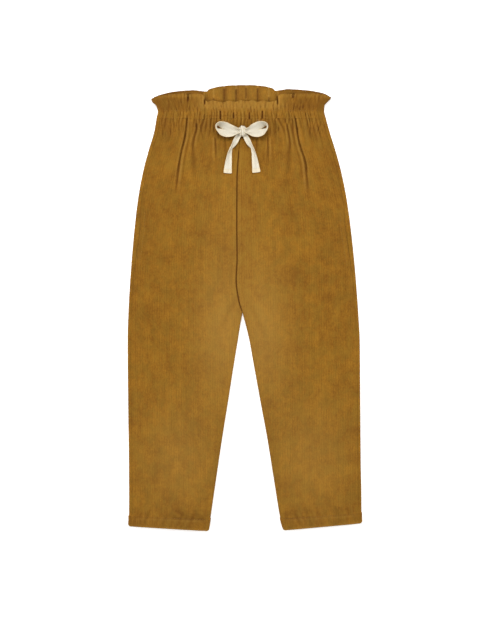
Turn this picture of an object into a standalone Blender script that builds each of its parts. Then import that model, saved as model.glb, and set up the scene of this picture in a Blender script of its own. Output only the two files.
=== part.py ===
"""A child's pull-on trousers in fine corduroy, laid flat on their back.

The waist is a paper-bag one: a gathered elastic casing with a ruffle standing above it, and a
cotton tape tied in a bow at the centre front. The legs taper to turned hems.

X runs across the garment, Y from the hems to the waist, Z up from the surface that the back
panels lie on. Tables and sizes are in millimetres. Their Y is measured from the lowest hem
corner, and BASE_Y puts the origin under the middle of the garment.
"""
import math
from collections import namedtuple

import bmesh
import bpy
from mathutils import Vector

MM = 0.001

# Driving dimensions, millimetres.
LENGTH = 535.0          # top of the back ruffle to the lowest hem corner
BASE_Y = -LENGTH / 2
WALL = 1.4              # one layer of corduroy
HEM_WALL = 2.0          # corduroy turned up at the hem
WAIST_WALL = 1.8        # doubled and pressed in the header, with elastic in the casing
SEAM_GAP = 0.3          # clearance between pieces that are sewn together
SEAM_Y = 494.4          # where the leg panels meet the waist pieces
CROTCH_Y = 261.6
CROTCH_X = -3.0
HEM_DEPTH = 12.6
HEM_STEP = 0.7          # how far the hem stands proud of the leg above it
BACK_RISE = 10.0        # how much higher the waist seam is at the centre back
BACK_SEAM_GAP = 0.5     # clearance along that curved seam
CROWN = 1.0             # rise of the upper layer between the side folds

# The outline at the sides: where each side fold lies, and the fold's outer radius.
Section = namedtuple("Section", "y left right fold")
SIDES = (
    Section(0.0, -140.2, 141.0, 2.8),
    Section(16.8, -139.5, 140.1, 2.8),
    Section(37.2, -139.4, 140.0, 2.5),
    Section(85.2, -139.6, 139.2, 2.5),
    Section(157.2, -140.6, 138.6, 2.5),
    Section(229.2, -141.1, 138.0, 2.5),
    Section(261.6, -140.2, 136.2, 2.5),
    Section(301.2, -138.0, 133.4, 2.5),
    Section(349.2, -134.2, 128.8, 2.6),
    Section(397.2, -128.8, 122.5, 2.6),
    Section(433.2, -122.2, 115.3, 2.7),
    Section(457.2, -115.8, 108.7, 2.8),
    Section(481.2, -108.8, 101.2, 3.0),
    Section(494.4, -106.6, 97.8, 3.2),
    Section(502.8, -104.8, 96.2, 3.3),
    Section(508.8, -106.8, 97.8, 3.2),
    Section(514.2, -111.2, 101.2, 3.0),
    Section(518.4, -113.0, 103.6, 2.8),
)

# The inner edge of each leg, from the crotch down.
Inseam = namedtuple("Inseam", "y left right")
INSEAMS = (
    Inseam(0.0, -43.7, 46.1),
    Inseam(13.2, -41.8, 42.8),
    Inseam(61.2, -34.8, 34.8),
    Inseam(109.2, -27.7, 27.1),
    Inseam(157.2, -20.0, 18.2),
    Inseam(205.2, -12.5, 9.5),
    Inseam(229.2, -8.5, 5.2),
    Inseam(252.0, -4.9, -0.3),
    Inseam(CROTCH_Y, CROTCH_X, CROTCH_X),
)

# The hems' lower edges, which lie square to each leg.
HemLine = namedtuple("HemLine", "outer inner")
HEM_BOTTOM = {"left": HemLine(6.0, 0.0), "right": HemLine(9.6, 0.8)}

# The rise seam, which joins the left and right panels above the crotch.
Rise = namedtuple("Rise", "y x")
RISE_SEAM = (
    Rise(CROTCH_Y, CROTCH_X),
    Rise(276.0, -7.4),
    Rise(301.0, -10.6),
    Rise(327.0, -9.5),
    Rise(368.0, -9.8),
    Rise(421.0, -9.5),
    Rise(456.0, -7.4),
    Rise(SEAM_Y, -4.4),
)

# The side seam lies on the front, this far inside the fold. It swings in at the pocket, where
# the mouth stands open by the gap.
SideSeam = namedtuple("SideSeam", "y inset gap")
SIDE_SEAM = (
    SideSeam(0.0, 3.6, 0.3),
    SideSeam(306.0, 3.6, 0.3),
    SideSeam(320.0, 4.8, 0.4),
    SideSeam(340.0, 6.6, 0.9),
    SideSeam(362.0, 7.6, 0.9),
    SideSeam(376.0, 6.6, 0.4),
    SideSeam(390.0, 4.6, 0.3),
    SideSeam(SEAM_Y, 4.4, 0.3),
)

# Long soft folds that run down from the casing: three points of each path, its depth and width.
Fold = namedtuple("Fold", "top_y top_x mid_y mid_x end_y end_x depth width")
FOLDS = (
    Fold(496.0, -69.6, 451.6, -77.9, 396.0, -83.6, 1.5, 2.6),
    Fold(490.0, -58.0, 464.4, -62.6, 420.0, -56.6, 1.2, 3.2),
    Fold(500.0, -46.0, 487.0, -52.0, 470.0, -56.0, 0.9, 2.4),
    Fold(474.0, -37.0, 456.0, -35.6, 430.0, -34.6, 0.7, 3.0),
    Fold(496.0, 59.4, 454.0, 69.6, 396.0, 77.6, 1.5, 2.6),
    Fold(490.0, 50.4, 464.4, 54.5, 420.0, 48.4, 1.2, 3.2),
    Fold(500.0, 39.0, 488.0, 43.4, 470.0, 48.0, 0.9, 2.4),
    Fold(474.0, 27.2, 454.0, 27.2, 430.0, 27.4, 0.7, 3.0),
)

# Gathers that the elastic draws in.
GATHERS_PER_HALF = 14
GATHER_HEIGHT = 1.0
GATHER_LENGTH = 26.0
GATHER_COLUMNS = (0.0, 0.33, 0.67)

# The free edges of the waist, from side to side.
Edge = namedtuple("Edge", "x y")
FRONT_EDGE = (
    Edge(-113.0, 518.4),
    Edge(-107.0, 521.0),
    Edge(-98.0, 522.8),
    Edge(-84.0, 524.2),
    Edge(-72.0, 524.4),
    Edge(-68.0, 519.6),
    Edge(-64.5, 523.4),
    Edge(-58.0, 524.4),
    Edge(-51.0, 523.0),
    Edge(-47.0, 516.2),
    Edge(-43.0, 514.8),
    Edge(-24.0, 515.4),
    Edge(-7.0, 516.2),
    Edge(15.6, 515.6),
    Edge(34.0, 514.8),
    Edge(37.6, 516.2),
    Edge(41.4, 523.0),
    Edge(48.0, 524.6),
    Edge(54.6, 523.6),
    Edge(58.2, 519.6),
    Edge(62.0, 524.6),
    Edge(75.0, 524.6),
    Edge(90.0, 523.2),
    Edge(98.0, 521.6),
    Edge(103.6, 518.4),
)
BACK_EDGE = (
    Edge(-113.0, 518.4),
    Edge(-107.0, 521.6),
    Edge(-96.0, 525.0),
    Edge(-81.6, 527.6),
    Edge(-63.6, 528.8),
    Edge(-48.0, 527.4),
    Edge(-44.6, 528.4),
    Edge(-41.0, 531.2),
    Edge(-31.2, 533.3),
    Edge(-13.2, 534.7),
    Edge(4.8, 535.0),
    Edge(22.8, 533.6),
    Edge(32.6, 531.2),
    Edge(36.4, 528.6),
    Edge(44.4, 529.2),
    Edge(51.6, 530.1),
    Edge(69.6, 529.2),
    Edge(80.4, 528.0),
    Edge(94.8, 524.4),
    Edge(103.6, 518.4),
)

# Pleats of the back ruffle, seen on its inner face: place along the edge and depth.
Pleat = namedtuple("Pleat", "x depth")
BACK_PLEATS = (
    Pleat(-113.0, 0.5),
    Pleat(-98.0, 0.7),
    Pleat(-83.0, 0.6),
    Pleat(-68.0, 1.0),
    Pleat(-48.0, 1.0),
    Pleat(-37.9, 1.1),
    Pleat(-25.2, 1.2),
    Pleat(-10.8, 1.2),
    Pleat(1.2, 1.1),
    Pleat(15.0, 1.2),
    Pleat(28.6, 1.0),
    Pleat(38.8, 1.1),
    Pleat(58.2, 1.0),
    Pleat(72.0, 0.6),
    Pleat(88.0, 0.7),
    Pleat(103.6, 0.5),
)

# The front ruffle's waves, one lobe between each two creases.
Crease = namedtuple("Crease", "x depth")
FRONT_CREASES = (
    Crease(-113.0, 0.4),
    Crease(-101.0, 0.6),
    Crease(-87.0, 0.5),
    Crease(-69.0, 1.0),
    Crease(-54.0, 0.7),
    Crease(-42.0, 0.6),
    Crease(-29.6, 1.0),
    Crease(-17.0, 0.6),
    Crease(-6.0, 0.8),
    Crease(4.5, 0.8),
    Crease(15.0, 0.8),
    Crease(24.0, 1.0),
    Crease(38.0, 0.7),
    Crease(50.0, 0.7),
    Crease(60.0, 1.0),
    Crease(76.0, 0.5),
    Crease(90.0, 0.6),
    Crease(103.6, 0.4),
)

# Rows of the waist pieces: part of the height, how much they pucker and how far they stand up.
WaistRow = namedtuple("WaistRow", "part pucker stand")
WAIST_ROWS = (
    WaistRow(0.0, 0.9, 0.0),      # seam to the leg panels
    WaistRow(0.10, 0.5, -0.2),    # lower row of stitching
    WaistRow(0.25, 0.9, 0.4),     # middle of the elastic
    WaistRow(0.40, 0.5, -0.2),    # upper row of stitching
    WaistRow(0.55, 0.8, 0.3),
    WaistRow(0.78, 0.5, 0.6),
    WaistRow(1.0, 0.3, 0.8),      # free edge of the ruffle
)
TIP_Y = 518.4           # where both ruffles meet at the sides
SIDE_ROLL = (0.0, 0.45, 1.7)      # columns that round the waist's side folds
LOBE_COLUMNS = 5        # columns for each wave of the back ruffle

# Rows of the leg panels: Y down to the crotch, then parts of the way from it to the hem.
GATHER_ROWS = (490.5, 486.0, 480.5, 474.0, 466.0, 457.0, 446.0, 434.0, 421.0, 407.0, 391.0)
SEAT_ROWS = (374.0, 357.0, 340.0, 322.0, 304.0, 288.0, 276.0, 269.0)
LEG_ROWS = (0.012, 0.04, 0.09, 0.16, 0.25, 0.35, 0.46, 0.57, 0.68, 0.79, 0.88)
BACK_ROWS_SKIPPED = (1, 3, 5, 27, 29, 31, 33)     # the plain back needs fewer

# Columns of the leg panels: parts of the width, with the folds' edges in degrees round them.
LEG_COLUMNS = (0.0, 0.03, 0.08, 0.15, 0.24, 0.34, 0.45, 0.56, 0.67, 0.78, 0.87, 0.93)
LAST_PLAIN = 0.95       # the inner face has every column past this place
BACK_COLUMNS = (0.10, 0.24, 0.40, 0.56, 0.72, 0.86)
ROLL_ANGLES = (90.0, 60.0, 30.0, 0.0)

# The tape and its bow.
TAPE_THICK = 1.0
KNOT_X = -2.8
KNOT_Y = 479.6
KNOT_HALF = (4.6, 6.0, 3.2)
TAPE_CLEAR = 0.35       # height of the tape's underside over the gathers
LOOP_CLEAR = 1.8        # height of the loops' inner edges over the gathers

# Places along the tape, outward and up from the knot's middle, seen on the garment's left side.
Place = namedtuple("Place", "out up tilt width")
LOOP = (
    Place(5.3, -2.3, 62.0, 6.4),
    Place(11.5, -3.0, 44.0, 8.8),
    Place(20.4, -2.4, 34.0, 10.0),
    Place(27.6, -0.9, 52.0, 10.0),
    Place(31.4, 1.6, 68.0, 10.0),
    Place(32.6, 4.6, 72.0, 10.0),
    Place(31.2, 7.5, 68.0, 10.0),
    Place(27.4, 8.9, 52.0, 10.0),
    Place(20.4, 7.4, 34.0, 10.0),
    Place(11.5, 4.8, 44.0, 8.8),
    Place(5.3, 2.3, 62.0, 6.4),
)
LOOP_REACH = {"left": 1.0, "right": 0.88}     # the right loop is pulled a little shorter
LEAD = (
    Place(19.5, 8.4, 0.0, 5.0),
    Place(12.0, 4.6, 0.0, 5.0),
    Place(5.2, 1.6, 0.0, 5.0),
)
TAILS = {
    "left": (
        Place(3.7, -7.2, -10.0, 5.0),
        Place(8.2, -12.6, -16.0, 6.4),
        Place(12.0, -20.6, -44.0, 6.4),
        Place(14.4, -29.4, -14.0, 7.6),
        Place(16.6, -39.0, 0.0, 9.0),
        Place(18.0, -49.4, 0.0, 10.3),
    ),
    "right": (
        Place(2.9, -7.2, -10.0, 5.0),
        Place(6.8, -12.9, -16.0, 6.4),
        Place(10.7, -21.0, -44.0, 6.4),
        Place(12.6, -30.6, -14.0, 7.6),
        Place(14.4, -40.2, 0.0, 9.0),
        Place(15.8, -48.8, 0.0, 10.3),
    ),
}

CORDUROY = (0.302, 0.150, 0.022, 1.0)
COTTON_TAPE = (0.84, 0.80, 0.70, 1.0)


def clear_scene():
    """Remove every object that the file opened with."""
    for item in list(bpy.data.objects):
        bpy.data.objects.remove(item, do_unlink=True)


def fabric(name, colour, roughness):
    """Make a plain fabric material."""
    material = bpy.data.materials.new(name)
    material.use_nodes = True
    shader = material.node_tree.nodes["Principled BSDF"]
    shader.inputs["Base Color"].default_value = colour
    shader.inputs["Roughness"].default_value = roughness
    shader.inputs["Metallic"].default_value = 0.0
    material.diffuse_color = colour
    return material


def smooth(value):
    """Ease from 0 to 1 as value goes from 0 to 1."""
    value = min(max(value, 0.0), 1.0)
    return value * value * (3.0 - 2.0 * value)


def read(table, key, column, at):
    """Read a column of a table at a place between its rows, on a smooth curve."""
    keys = [getattr(row, key) for row in table]
    values = [getattr(row, column) for row in table]
    if at <= keys[0]:
        return values[0]
    if at >= keys[-1]:
        return values[-1]
    last = len(keys) - 1
    k = max(i for i in range(last) if keys[i] <= at)
    slopes = []
    for i in (k, k + 1):
        before = max(i - 1, 0)
        after = min(i + 1, last)
        left = (values[i] - values[before]) / (keys[i] - keys[before]) if i > before else None
        right = (values[after] - values[i]) / (keys[after] - keys[i]) if after > i else None
        if left is None or right is None:
            slopes.append(right if left is None else left)
        elif left * right <= 0.0:
            slopes.append(0.0)
        else:
            slopes.append(2.0 * left * right / (left + right))
    span = keys[k + 1] - keys[k]
    s = (at - keys[k]) / span
    rise = values[k + 1] - values[k]
    start = slopes[0] * span
    end = slopes[1] * span
    return (values[k] + start * s + (3.0 * rise - 2.0 * start - end) * s * s
            + (start + end - 2.0 * rise) * s ** 3)


def uneven(index, seed):
    """A repeatable number from 0 to 1 that differs from one index to the next."""
    return 0.5 + 0.5 * math.sin(index * 2.399 + seed * 1.7 + math.sin(index * 5.1 + seed))


# ---------------------------------------------------------------------------------------------
# Walls: closed solids between an outer and an inner grid of rows.

def stitch(faces, row_a, row_b):
    """Fill the strip between two rows of (place, vertex) with triangles."""
    def middle(row, n):
        """The middle of a row's next step, past everything at the row's end."""
        return (row[n][0] + row[n + 1][0]) / 2 if n < len(row) - 1 else math.inf

    i = 0
    j = 0
    while i < len(row_a) - 1 or j < len(row_b) - 1:
        if middle(row_a, i) <= middle(row_b, j):
            faces.append((row_a[i][1], row_a[i + 1][1], row_b[j][1]))
            i += 1
        else:
            faces.append((row_a[i][1], row_b[j + 1][1], row_b[j][1]))
            j += 1


def wall(name, outer_rows, inner_rows, material):
    """Make a closed cloth wall from rows of (place, point); both grids have the same rows."""
    points = []

    def numbered(rows):
        """Store the points and return the rows with their vertex numbers."""
        result = []
        for row in rows:
            result.append([(place, len(points) + n) for n, (place, point) in enumerate(row)])
            points.extend(point for place, point in row)
        return result

    outer = numbered(outer_rows)
    inner = numbered(inner_rows)
    faces = []
    for a, b in zip(outer, outer[1:]):
        stitch(faces, a, b)
    for a, b in zip(inner, inner[1:]):
        stitch(faces, b, a)
    stitch(faces, inner[0], outer[0])
    stitch(faces, outer[-1], inner[-1])
    for end in (0, -1):
        for n in range(len(outer) - 1):
            corner = [outer[n][end][1], outer[n + 1][end][1],
                      inner[n + 1][end][1], inner[n][end][1]]
            faces.append(tuple(corner[:3]))
            faces.append((corner[0], corner[2], corner[3]))
    return solid(name, points, faces, material)


def solid(name, points, faces, material):
    """Make an object from points in millimetres and faces."""
    shape = bmesh.new()
    corners = [shape.verts.new(Vector((p[0], p[1] + BASE_Y, p[2])) * MM) for p in points]
    for face in faces:
        shape.faces.new([corners[n] for n in face])
    bmesh.ops.recalc_face_normals(shape, faces=shape.faces)
    mesh = bpy.data.meshes.new(name)
    shape.to_mesh(mesh)
    shape.free()
    mesh.shade_smooth()
    mesh.set_sharp_from_angle(angle=math.radians(50.0))
    mesh.materials.append(material)
    item = bpy.data.objects.new(name, mesh)
    bpy.context.collection.objects.link(item)
    return item


# ---------------------------------------------------------------------------------------------
# The shape of the upper layer.

def gather_creases(side):
    """Where the creases between gathers lie across one half, from 0 at the side to 1."""
    seed = 1 if side == "left" else 4
    places = [0.0]
    for n in range(1, GATHERS_PER_HALF):
        shift = 0.5 * (uneven(n, seed) - 0.5)
        places.append((n + shift) / GATHERS_PER_HALF)
    places.append(1.0)
    return places


def gather_height(side, place, below):
    """Height of the gathers at a place across one half, a distance below the casing."""
    creases = gather_creases(side)
    n = max(i for i in range(GATHERS_PER_HALF) if creases[i] <= place + 1e-9)
    s = (place - creases[n]) / (creases[n + 1] - creases[n])
    reach = GATHER_LENGTH * (0.6 + 0.9 * uneven(n, 7))
    height = GATHER_HEIGHT * (0.65 + 0.35 * uneven(n, 3)) * (1.0 - smooth(below / reach))
    return height * math.sin(math.pi * min(max(s, 0.0), 1.0)) ** 0.8


def fold_height(x, y):
    """Height of the long soft folds at a point: a trough with a low ridge on each side."""
    height = 0.0
    for fold in FOLDS:
        if y > fold.top_y or y < fold.end_y:
            continue
        s = (fold.top_y - y) / (fold.top_y - fold.end_y)
        middle = (fold.top_y - fold.mid_y) / (fold.top_y - fold.end_y)
        bend = fold.mid_x - (fold.top_x + (fold.end_x - fold.top_x) * middle)
        path = fold.top_x + (fold.end_x - fold.top_x) * s
        path += bend * s * (1.0 - s) / (middle * (1.0 - middle))
        strength = fold.depth * smooth(s / 0.08) * (1.0 - smooth((s - 0.45) / 0.55))
        across = (x - path) / (fold.width * (1.0 + 0.8 * s))
        height -= strength * math.exp(-across * across)
        height += 0.35 * strength * math.exp(-((abs(across) - 2.0) / 1.1) ** 2)
    return height


# A row across a panel: its ends in plan, the side fold's radius and the wall's thickness.
Row = namedtuple("Row", "outer inner fold wall above_crotch")


def panel_row(side, y_outer, y_inner):
    """The ends of a row across one leg, or across one half of the seat above the crotch."""
    sign = -1.0 if side == "left" else 1.0
    x_outer = read(SIDES, "y", side, y_outer)
    hem_top = HEM_BOTTOM[side].outer + HEM_DEPTH
    in_hem = y_outer < hem_top
    if in_hem:
        x_outer += sign * HEM_STEP
    above = y_inner - CROTCH_Y
    if above >= 0.0:
        x_inner = read(RISE_SEAM, "y", "x", y_inner) + sign * SEAM_GAP / 2
    else:
        x_inner = read(INSEAMS, "y", side, y_inner)
        if in_hem:
            x_inner -= sign * HEM_STEP
        near_crotch = min(-above / 4.0, 1.0)
        x_inner += sign * SEAM_GAP / 2 * (1.0 - near_crotch)
    radius = read(SIDES, "y", "fold", y_outer)
    if in_hem:
        radius += HEM_STEP / 2
    return Row(Vector((x_outer, y_outer)), Vector((x_inner, y_inner)), radius,
               HEM_WALL if in_hem else WALL, max(above, 0.0))


def row_ends(side):
    """The (outer, inner) stations of every row from the waist seam to the hem."""
    ends = [(y, y) for y in (SEAM_Y,) + GATHER_ROWS + SEAT_ROWS]
    fold = read(SIDES, "y", "fold", CROTCH_Y)
    for angle in ROLL_ANGLES:
        y = CROTCH_Y + fold * (1.0 - math.cos(math.radians(angle)))
        ends.append((y, y))
    hem = HEM_BOTTOM[side]
    step = HEM_DEPTH / (CROTCH_Y - hem.outer)
    hem_rows = (1.0 - step - 0.003, 1.0 - step + 0.001, 1.0 - step / 2, 1.0)
    for part in LEG_ROWS + hem_rows:
        ends.append((CROTCH_Y + (hem.outer - CROTCH_Y) * part,
                     CROTCH_Y + (hem.inner - CROTCH_Y) * part))
    return ends


def edge_angle(distance, fold):
    """How far round the fold a point at this distance from the edge lies, in radians."""
    return math.acos(max(0.0, (fold - distance) / fold)) if distance < fold else math.pi / 2


def layer_point(row, distance, lower, lift):
    """The outer and inner points of a layer, at a distance from the row's outer end.

    The layer rolls over at the outer side fold, at the inner side of a leg and round the top of
    the crotch. lift raises both faces of the upper layer.
    """
    along = (row.inner - row.outer).normalized()
    width = (row.inner - row.outer).length
    place = row.outer + along * distance
    if row.above_crotch > 0.0:
        crotch = Vector((CROTCH_X, CROTCH_Y))
        inner_distance = max((place - crotch).length, 1e-6)
        inner_way = (place - crotch) / inner_distance
    else:
        inner_distance = width - distance
        inner_way = -along
    if distance < inner_distance:
        angle = edge_angle(distance, row.fold)
        way = along
    else:
        angle = edge_angle(inner_distance, row.fold)
        way = inner_way
    turn = -1.0 if lower else 1.0
    middle = row.fold if lower else row.fold + SEAM_GAP
    z = middle + turn * row.fold * math.sin(angle) + lift
    inward = Vector((way.x * math.cos(angle), way.y * math.cos(angle), -turn * math.sin(angle)))
    outer = Vector((place.x, place.y, z))
    return outer, outer + inward * row.wall


def crown_height(row, distance):
    """How much the upper layer rises over the layer below it, away from its edges."""
    width = (row.inner - row.outer).length
    leg = distance / width
    body = 0.5 * distance / width
    blend = smooth(row.above_crotch / 70.0)
    place = leg + (body - leg) * blend
    return CROWN * (1.0 - abs(2.0 * place - 1.0) ** 3)


def upper_lift(row, distance):
    """Height that crown and folds add to the upper layer."""
    place = row.outer + (row.inner - row.outer).normalized() * distance
    width = (row.inner - row.outer).length
    inner_distance = max(width - distance, row.above_crotch)
    ramp = smooth((distance - row.fold) / 9.0) * smooth((inner_distance - row.fold) / 9.0)
    lift = crown_height(row, distance) * ramp + fold_height(place.x, place.y)
    if row.above_crotch > 0.0:
        lift -= 0.6 * math.exp(-((width - distance) / 1.3) ** 2)
    return lift


def front_columns(side, row, gathered):
    """Places across a front row, from 0 at the side seam to 1 at the inner edge."""
    if gathered:
        creases = gather_creases(side)
        places = []
        for a, b in zip(creases, creases[1:]):
            places += [a + (b - a) * part for part in GATHER_COLUMNS]
        return places + [1.0]
    width = (row.inner - row.outer).length
    rolled = [1.0 - row.fold * (1.0 - math.cos(math.radians(a))) / width
              for a in ROLL_ANGLES]
    return list(LEG_COLUMNS) + rolled


def front_panel(side, material):
    """The front of one leg, from the waist seam to the hem."""
    outer_rows = []
    inner_rows = []
    for y_outer, y_inner in row_ends(side):
        row = panel_row(side, y_outer, y_inner)
        width = (row.inner - row.outer).length
        seam = read(SIDE_SEAM, "y", "inset", y_outer)
        gathered = y_outer >= GATHER_ROWS[-1]
        outer = []
        inner = []
        columns = front_columns(side, row, gathered)
        for n, place in enumerate(columns):
            distance = seam + (width - seam) * place
            lift = upper_lift(row, distance)
            top, under = layer_point(row, distance, False, lift)
            if gathered:
                top.z += gather_height(side, place, SEAM_Y - y_outer)
            outer.append((place, top))
            if n % 2 == 0 or n == len(columns) - 1 or place > LAST_PLAIN:
                inner.append((place, under))
        outer_rows.append(outer)
        inner_rows.append(inner)
    return wall("front_" + side, outer_rows, inner_rows, material)


def back_rise(across):
    """How much higher the back's waist seam is, from -1 at one side to 1 at the other."""
    return BACK_RISE * smooth((1.0 - abs(across)) / 0.9)


def back_seam_lift(x, y):
    """How much a point of the back panels is raised towards the waist seam."""
    left = read(SIDES, "y", "left", y)
    right = read(SIDES, "y", "right", y)
    across = (2.0 * x - left - right) / (right - left)
    return back_rise(across) * smooth((y - 400.0) / (SEAM_Y - 400.0))


def back_panel(side, material):
    """The back of one leg, which wraps round the side fold to meet the front panel."""
    ends = row_ends(side)
    kept = [row for n, row in enumerate(ends) if n not in BACK_ROWS_SKIPPED]
    outer_rows = []
    inner_rows = []
    for y_outer, y_inner in kept:
        row = panel_row(side, y_outer, y_inner)
        width = (row.inner - row.outer).length
        seam = read(SIDE_SEAM, "y", "inset", y_outer)
        gap = read(SIDE_SEAM, "y", "gap", y_outer)
        pairs = []
        returned = [seam - gap] + [row.fold * (1.0 - math.cos(math.radians(a)))
                                   for a in ROLL_ANGLES[:-1]]
        for distance in returned:
            top, under = layer_point(row, distance, False, -SEAM_GAP)
            pairs.append((top, under))
        for angle in reversed(ROLL_ANGLES):
            distance = row.fold * (1.0 - math.cos(math.radians(angle)))
            pairs.append(layer_point(row, distance, True, 0.0))
        for part in BACK_COLUMNS:
            distance = row.fold + (width - 2.0 * row.fold) * part
            pairs.append(layer_point(row, distance, True, 0.0))
        for angle in ROLL_ANGLES:
            distance = width - row.fold * (1.0 - math.cos(math.radians(angle)))
            pairs.append(layer_point(row, distance, True, 0.0))
        for point in (p for pair in pairs for p in pair):
            point.y += back_seam_lift(point.x, point.y)
        last = len(pairs) - 1
        outer_rows.append([(n / last, pair[0]) for n, pair in enumerate(pairs)])
        inner_rows.append([(n / last, pair[1]) for n, pair in enumerate(pairs)])
    return wall("back_" + side, outer_rows, inner_rows, material)


# ---------------------------------------------------------------------------------------------
# The waist pieces.

def lobe_height(creases, x):
    """Height of a ruffle's waves: a round lobe between each two creases."""
    if x <= creases[0].x or x >= creases[-1].x:
        return 0.0
    n = max(i for i in range(len(creases) - 1) if creases[i].x <= x)
    here = creases[n]
    beyond = creases[n + 1]
    s = (x - here.x) / (beyond.x - here.x)
    depth = here.depth + (beyond.depth - here.depth) * s
    return depth * math.sin(math.pi * s) ** 0.6


def waist_columns():
    """Places across the front waist that meet the gathers of both front panels."""
    left = read(SIDES, "y", "left", SEAM_Y)
    right = read(SIDES, "y", "right", SEAM_Y)
    middle = read(RISE_SEAM, "y", "x", SEAM_Y)
    inset = read(SIDE_SEAM, "y", "inset", SEAM_Y)
    centre = (middle - left) / (right - left)
    start = inset / (right - left)
    columns = []
    for side in ("left", "right"):
        row = panel_row(side, SEAM_Y, SEAM_Y)
        for place in front_columns(side, row, True):
            part = start + (centre - start) * place
            if side == "right":
                part = 1.0 - (start + (1.0 - centre - start) * place)
            columns.append((part, side, place))
    columns.sort()
    return [c for n, c in enumerate(columns) if n == 0 or c[0] - columns[n - 1][0] > 1e-4]


def waist_point(part, x_part, lower, edge_table, stand):
    """Outer and inner points of a waist piece at a part of its height and width."""
    side_y = SEAM_Y + SEAM_GAP + (TIP_Y - SEAM_Y - SEAM_GAP) * part
    left = read(SIDES, "y", "left", side_y)
    right = read(SIDES, "y", "right", side_y)
    fold = read(SIDES, "y", "fold", side_y)
    width = right - left
    x = left + width * x_part
    seam_y = SEAM_Y + SEAM_GAP
    if lower:
        seam_y = SEAM_Y + BACK_SEAM_GAP + back_rise(2.0 * x_part - 1.0)
    y = seam_y + (read(edge_table, "x", "y", x) - seam_y) * part
    from_left = width * x_part
    from_right = width - from_left
    distance = min(from_left, from_right)
    way = 1.0 if from_left < from_right else -1.0
    angle = edge_angle(distance, fold)
    turn = -1.0 if lower else 1.0
    middle = fold if lower else fold + SEAM_GAP
    ramp = smooth((distance - fold) / 10.0)
    outer = Vector((x, y, middle + turn * fold * math.sin(angle) + stand * ramp))
    inward = Vector((way * math.cos(angle), 0.0, -turn * math.sin(angle)))
    return outer, outer + inward * WAIST_WALL


def waist_front(material):
    """Front casing and ruffle, gathered in step with the front panels."""
    outer_rows = []
    inner_rows = []
    for line in WAIST_ROWS:
        outer = []
        inner = []
        width = read(SIDES, "y", "right", SEAM_Y) - read(SIDES, "y", "left", SEAM_Y)
        rolls = [(d / width, None, 0.0) for d in SIDE_ROLL]
        rolls_right = [(1.0 - d / width, None, 0.0) for d in reversed(SIDE_ROLL)]
        columns = rolls + waist_columns() + rolls_right
        for n, (x_part, side, place) in enumerate(columns):
            lobes = lobe_height(FRONT_CREASES, waist_x(line.part, x_part)) * smooth(line.part)
            stand = line.stand + lobes
            top, under = waist_point(line.part, x_part, False, FRONT_EDGE, stand)
            if side:
                height = gather_height(side, place, 0.0)
                top.z += height * line.pucker * (1.0 - 0.5 * line.part)
            outer.append((x_part, top))
            if side is None or n % 4 == 0:
                inner.append((x_part, under))
        outer_rows.append(outer)
        inner_rows.append(inner)
    return wall("waist_front", outer_rows, inner_rows, material)


def waist_x(part, x_part):
    """X of a waist point at a part of the height and width."""
    side_y = SEAM_Y + (TIP_Y - SEAM_Y) * part
    left = read(SIDES, "y", "left", side_y)
    right = read(SIDES, "y", "right", side_y)
    return left + (right - left) * x_part


def waist_back(material):
    """Back casing and ruffle. Its inner face shows above the front's edge."""
    left = BACK_PLEATS[0].x
    width = BACK_PLEATS[-1].x - left
    parts = [d / width for d in SIDE_ROLL]
    for here, beyond in zip(BACK_PLEATS, BACK_PLEATS[1:]):
        for n in range(LOBE_COLUMNS):
            parts.append((here.x + (beyond.x - here.x) * n / LOBE_COLUMNS - left) / width)
    parts += [1.0 - d / width for d in reversed(SIDE_ROLL)]
    parts = sorted(parts)
    parts = [p for n, p in enumerate(parts) if n == 0 or p - parts[n - 1] > 0.002]
    outer_rows = []
    inner_rows = []
    for line in WAIST_ROWS:
        outer = []
        inner = []
        for x_part in parts:
            lobes = lobe_height(BACK_PLEATS, left + width * x_part)
            stand = lobes * smooth((line.part - 0.4) / 0.5) * 1.3
            under, top = waist_point(line.part, x_part, True, BACK_EDGE, stand)
            outer.append((x_part, under))
            inner.append((x_part, top))
        outer_rows.append(outer)
        inner_rows.append(inner)
    return wall("waist_back", outer_rows, inner_rows, material)


# ---------------------------------------------------------------------------------------------
# The tape and its bow.

Station = namedtuple("Station", "x y z tilt width")


def blend_stations(stations, steps):
    """Stations along the smooth curve through the given ones."""
    path = []
    last = len(stations) - 1
    for k in range(last):
        a = stations[max(k - 1, 0)]
        b = stations[k]
        c = stations[k + 1]
        d = stations[min(k + 2, last)]
        for n in range(steps):
            s = n / steps
            values = []
            for p, q, r, w in zip(a, b, c, d):
                values.append(0.5 * (2 * q + (r - p) * s + (2 * p - 5 * q + 4 * r - w) * s * s
                                     + (3 * q - p - 3 * r + w) * s ** 3))
            path.append(Station(*values))
    path.append(stations[-1])
    return path


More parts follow.
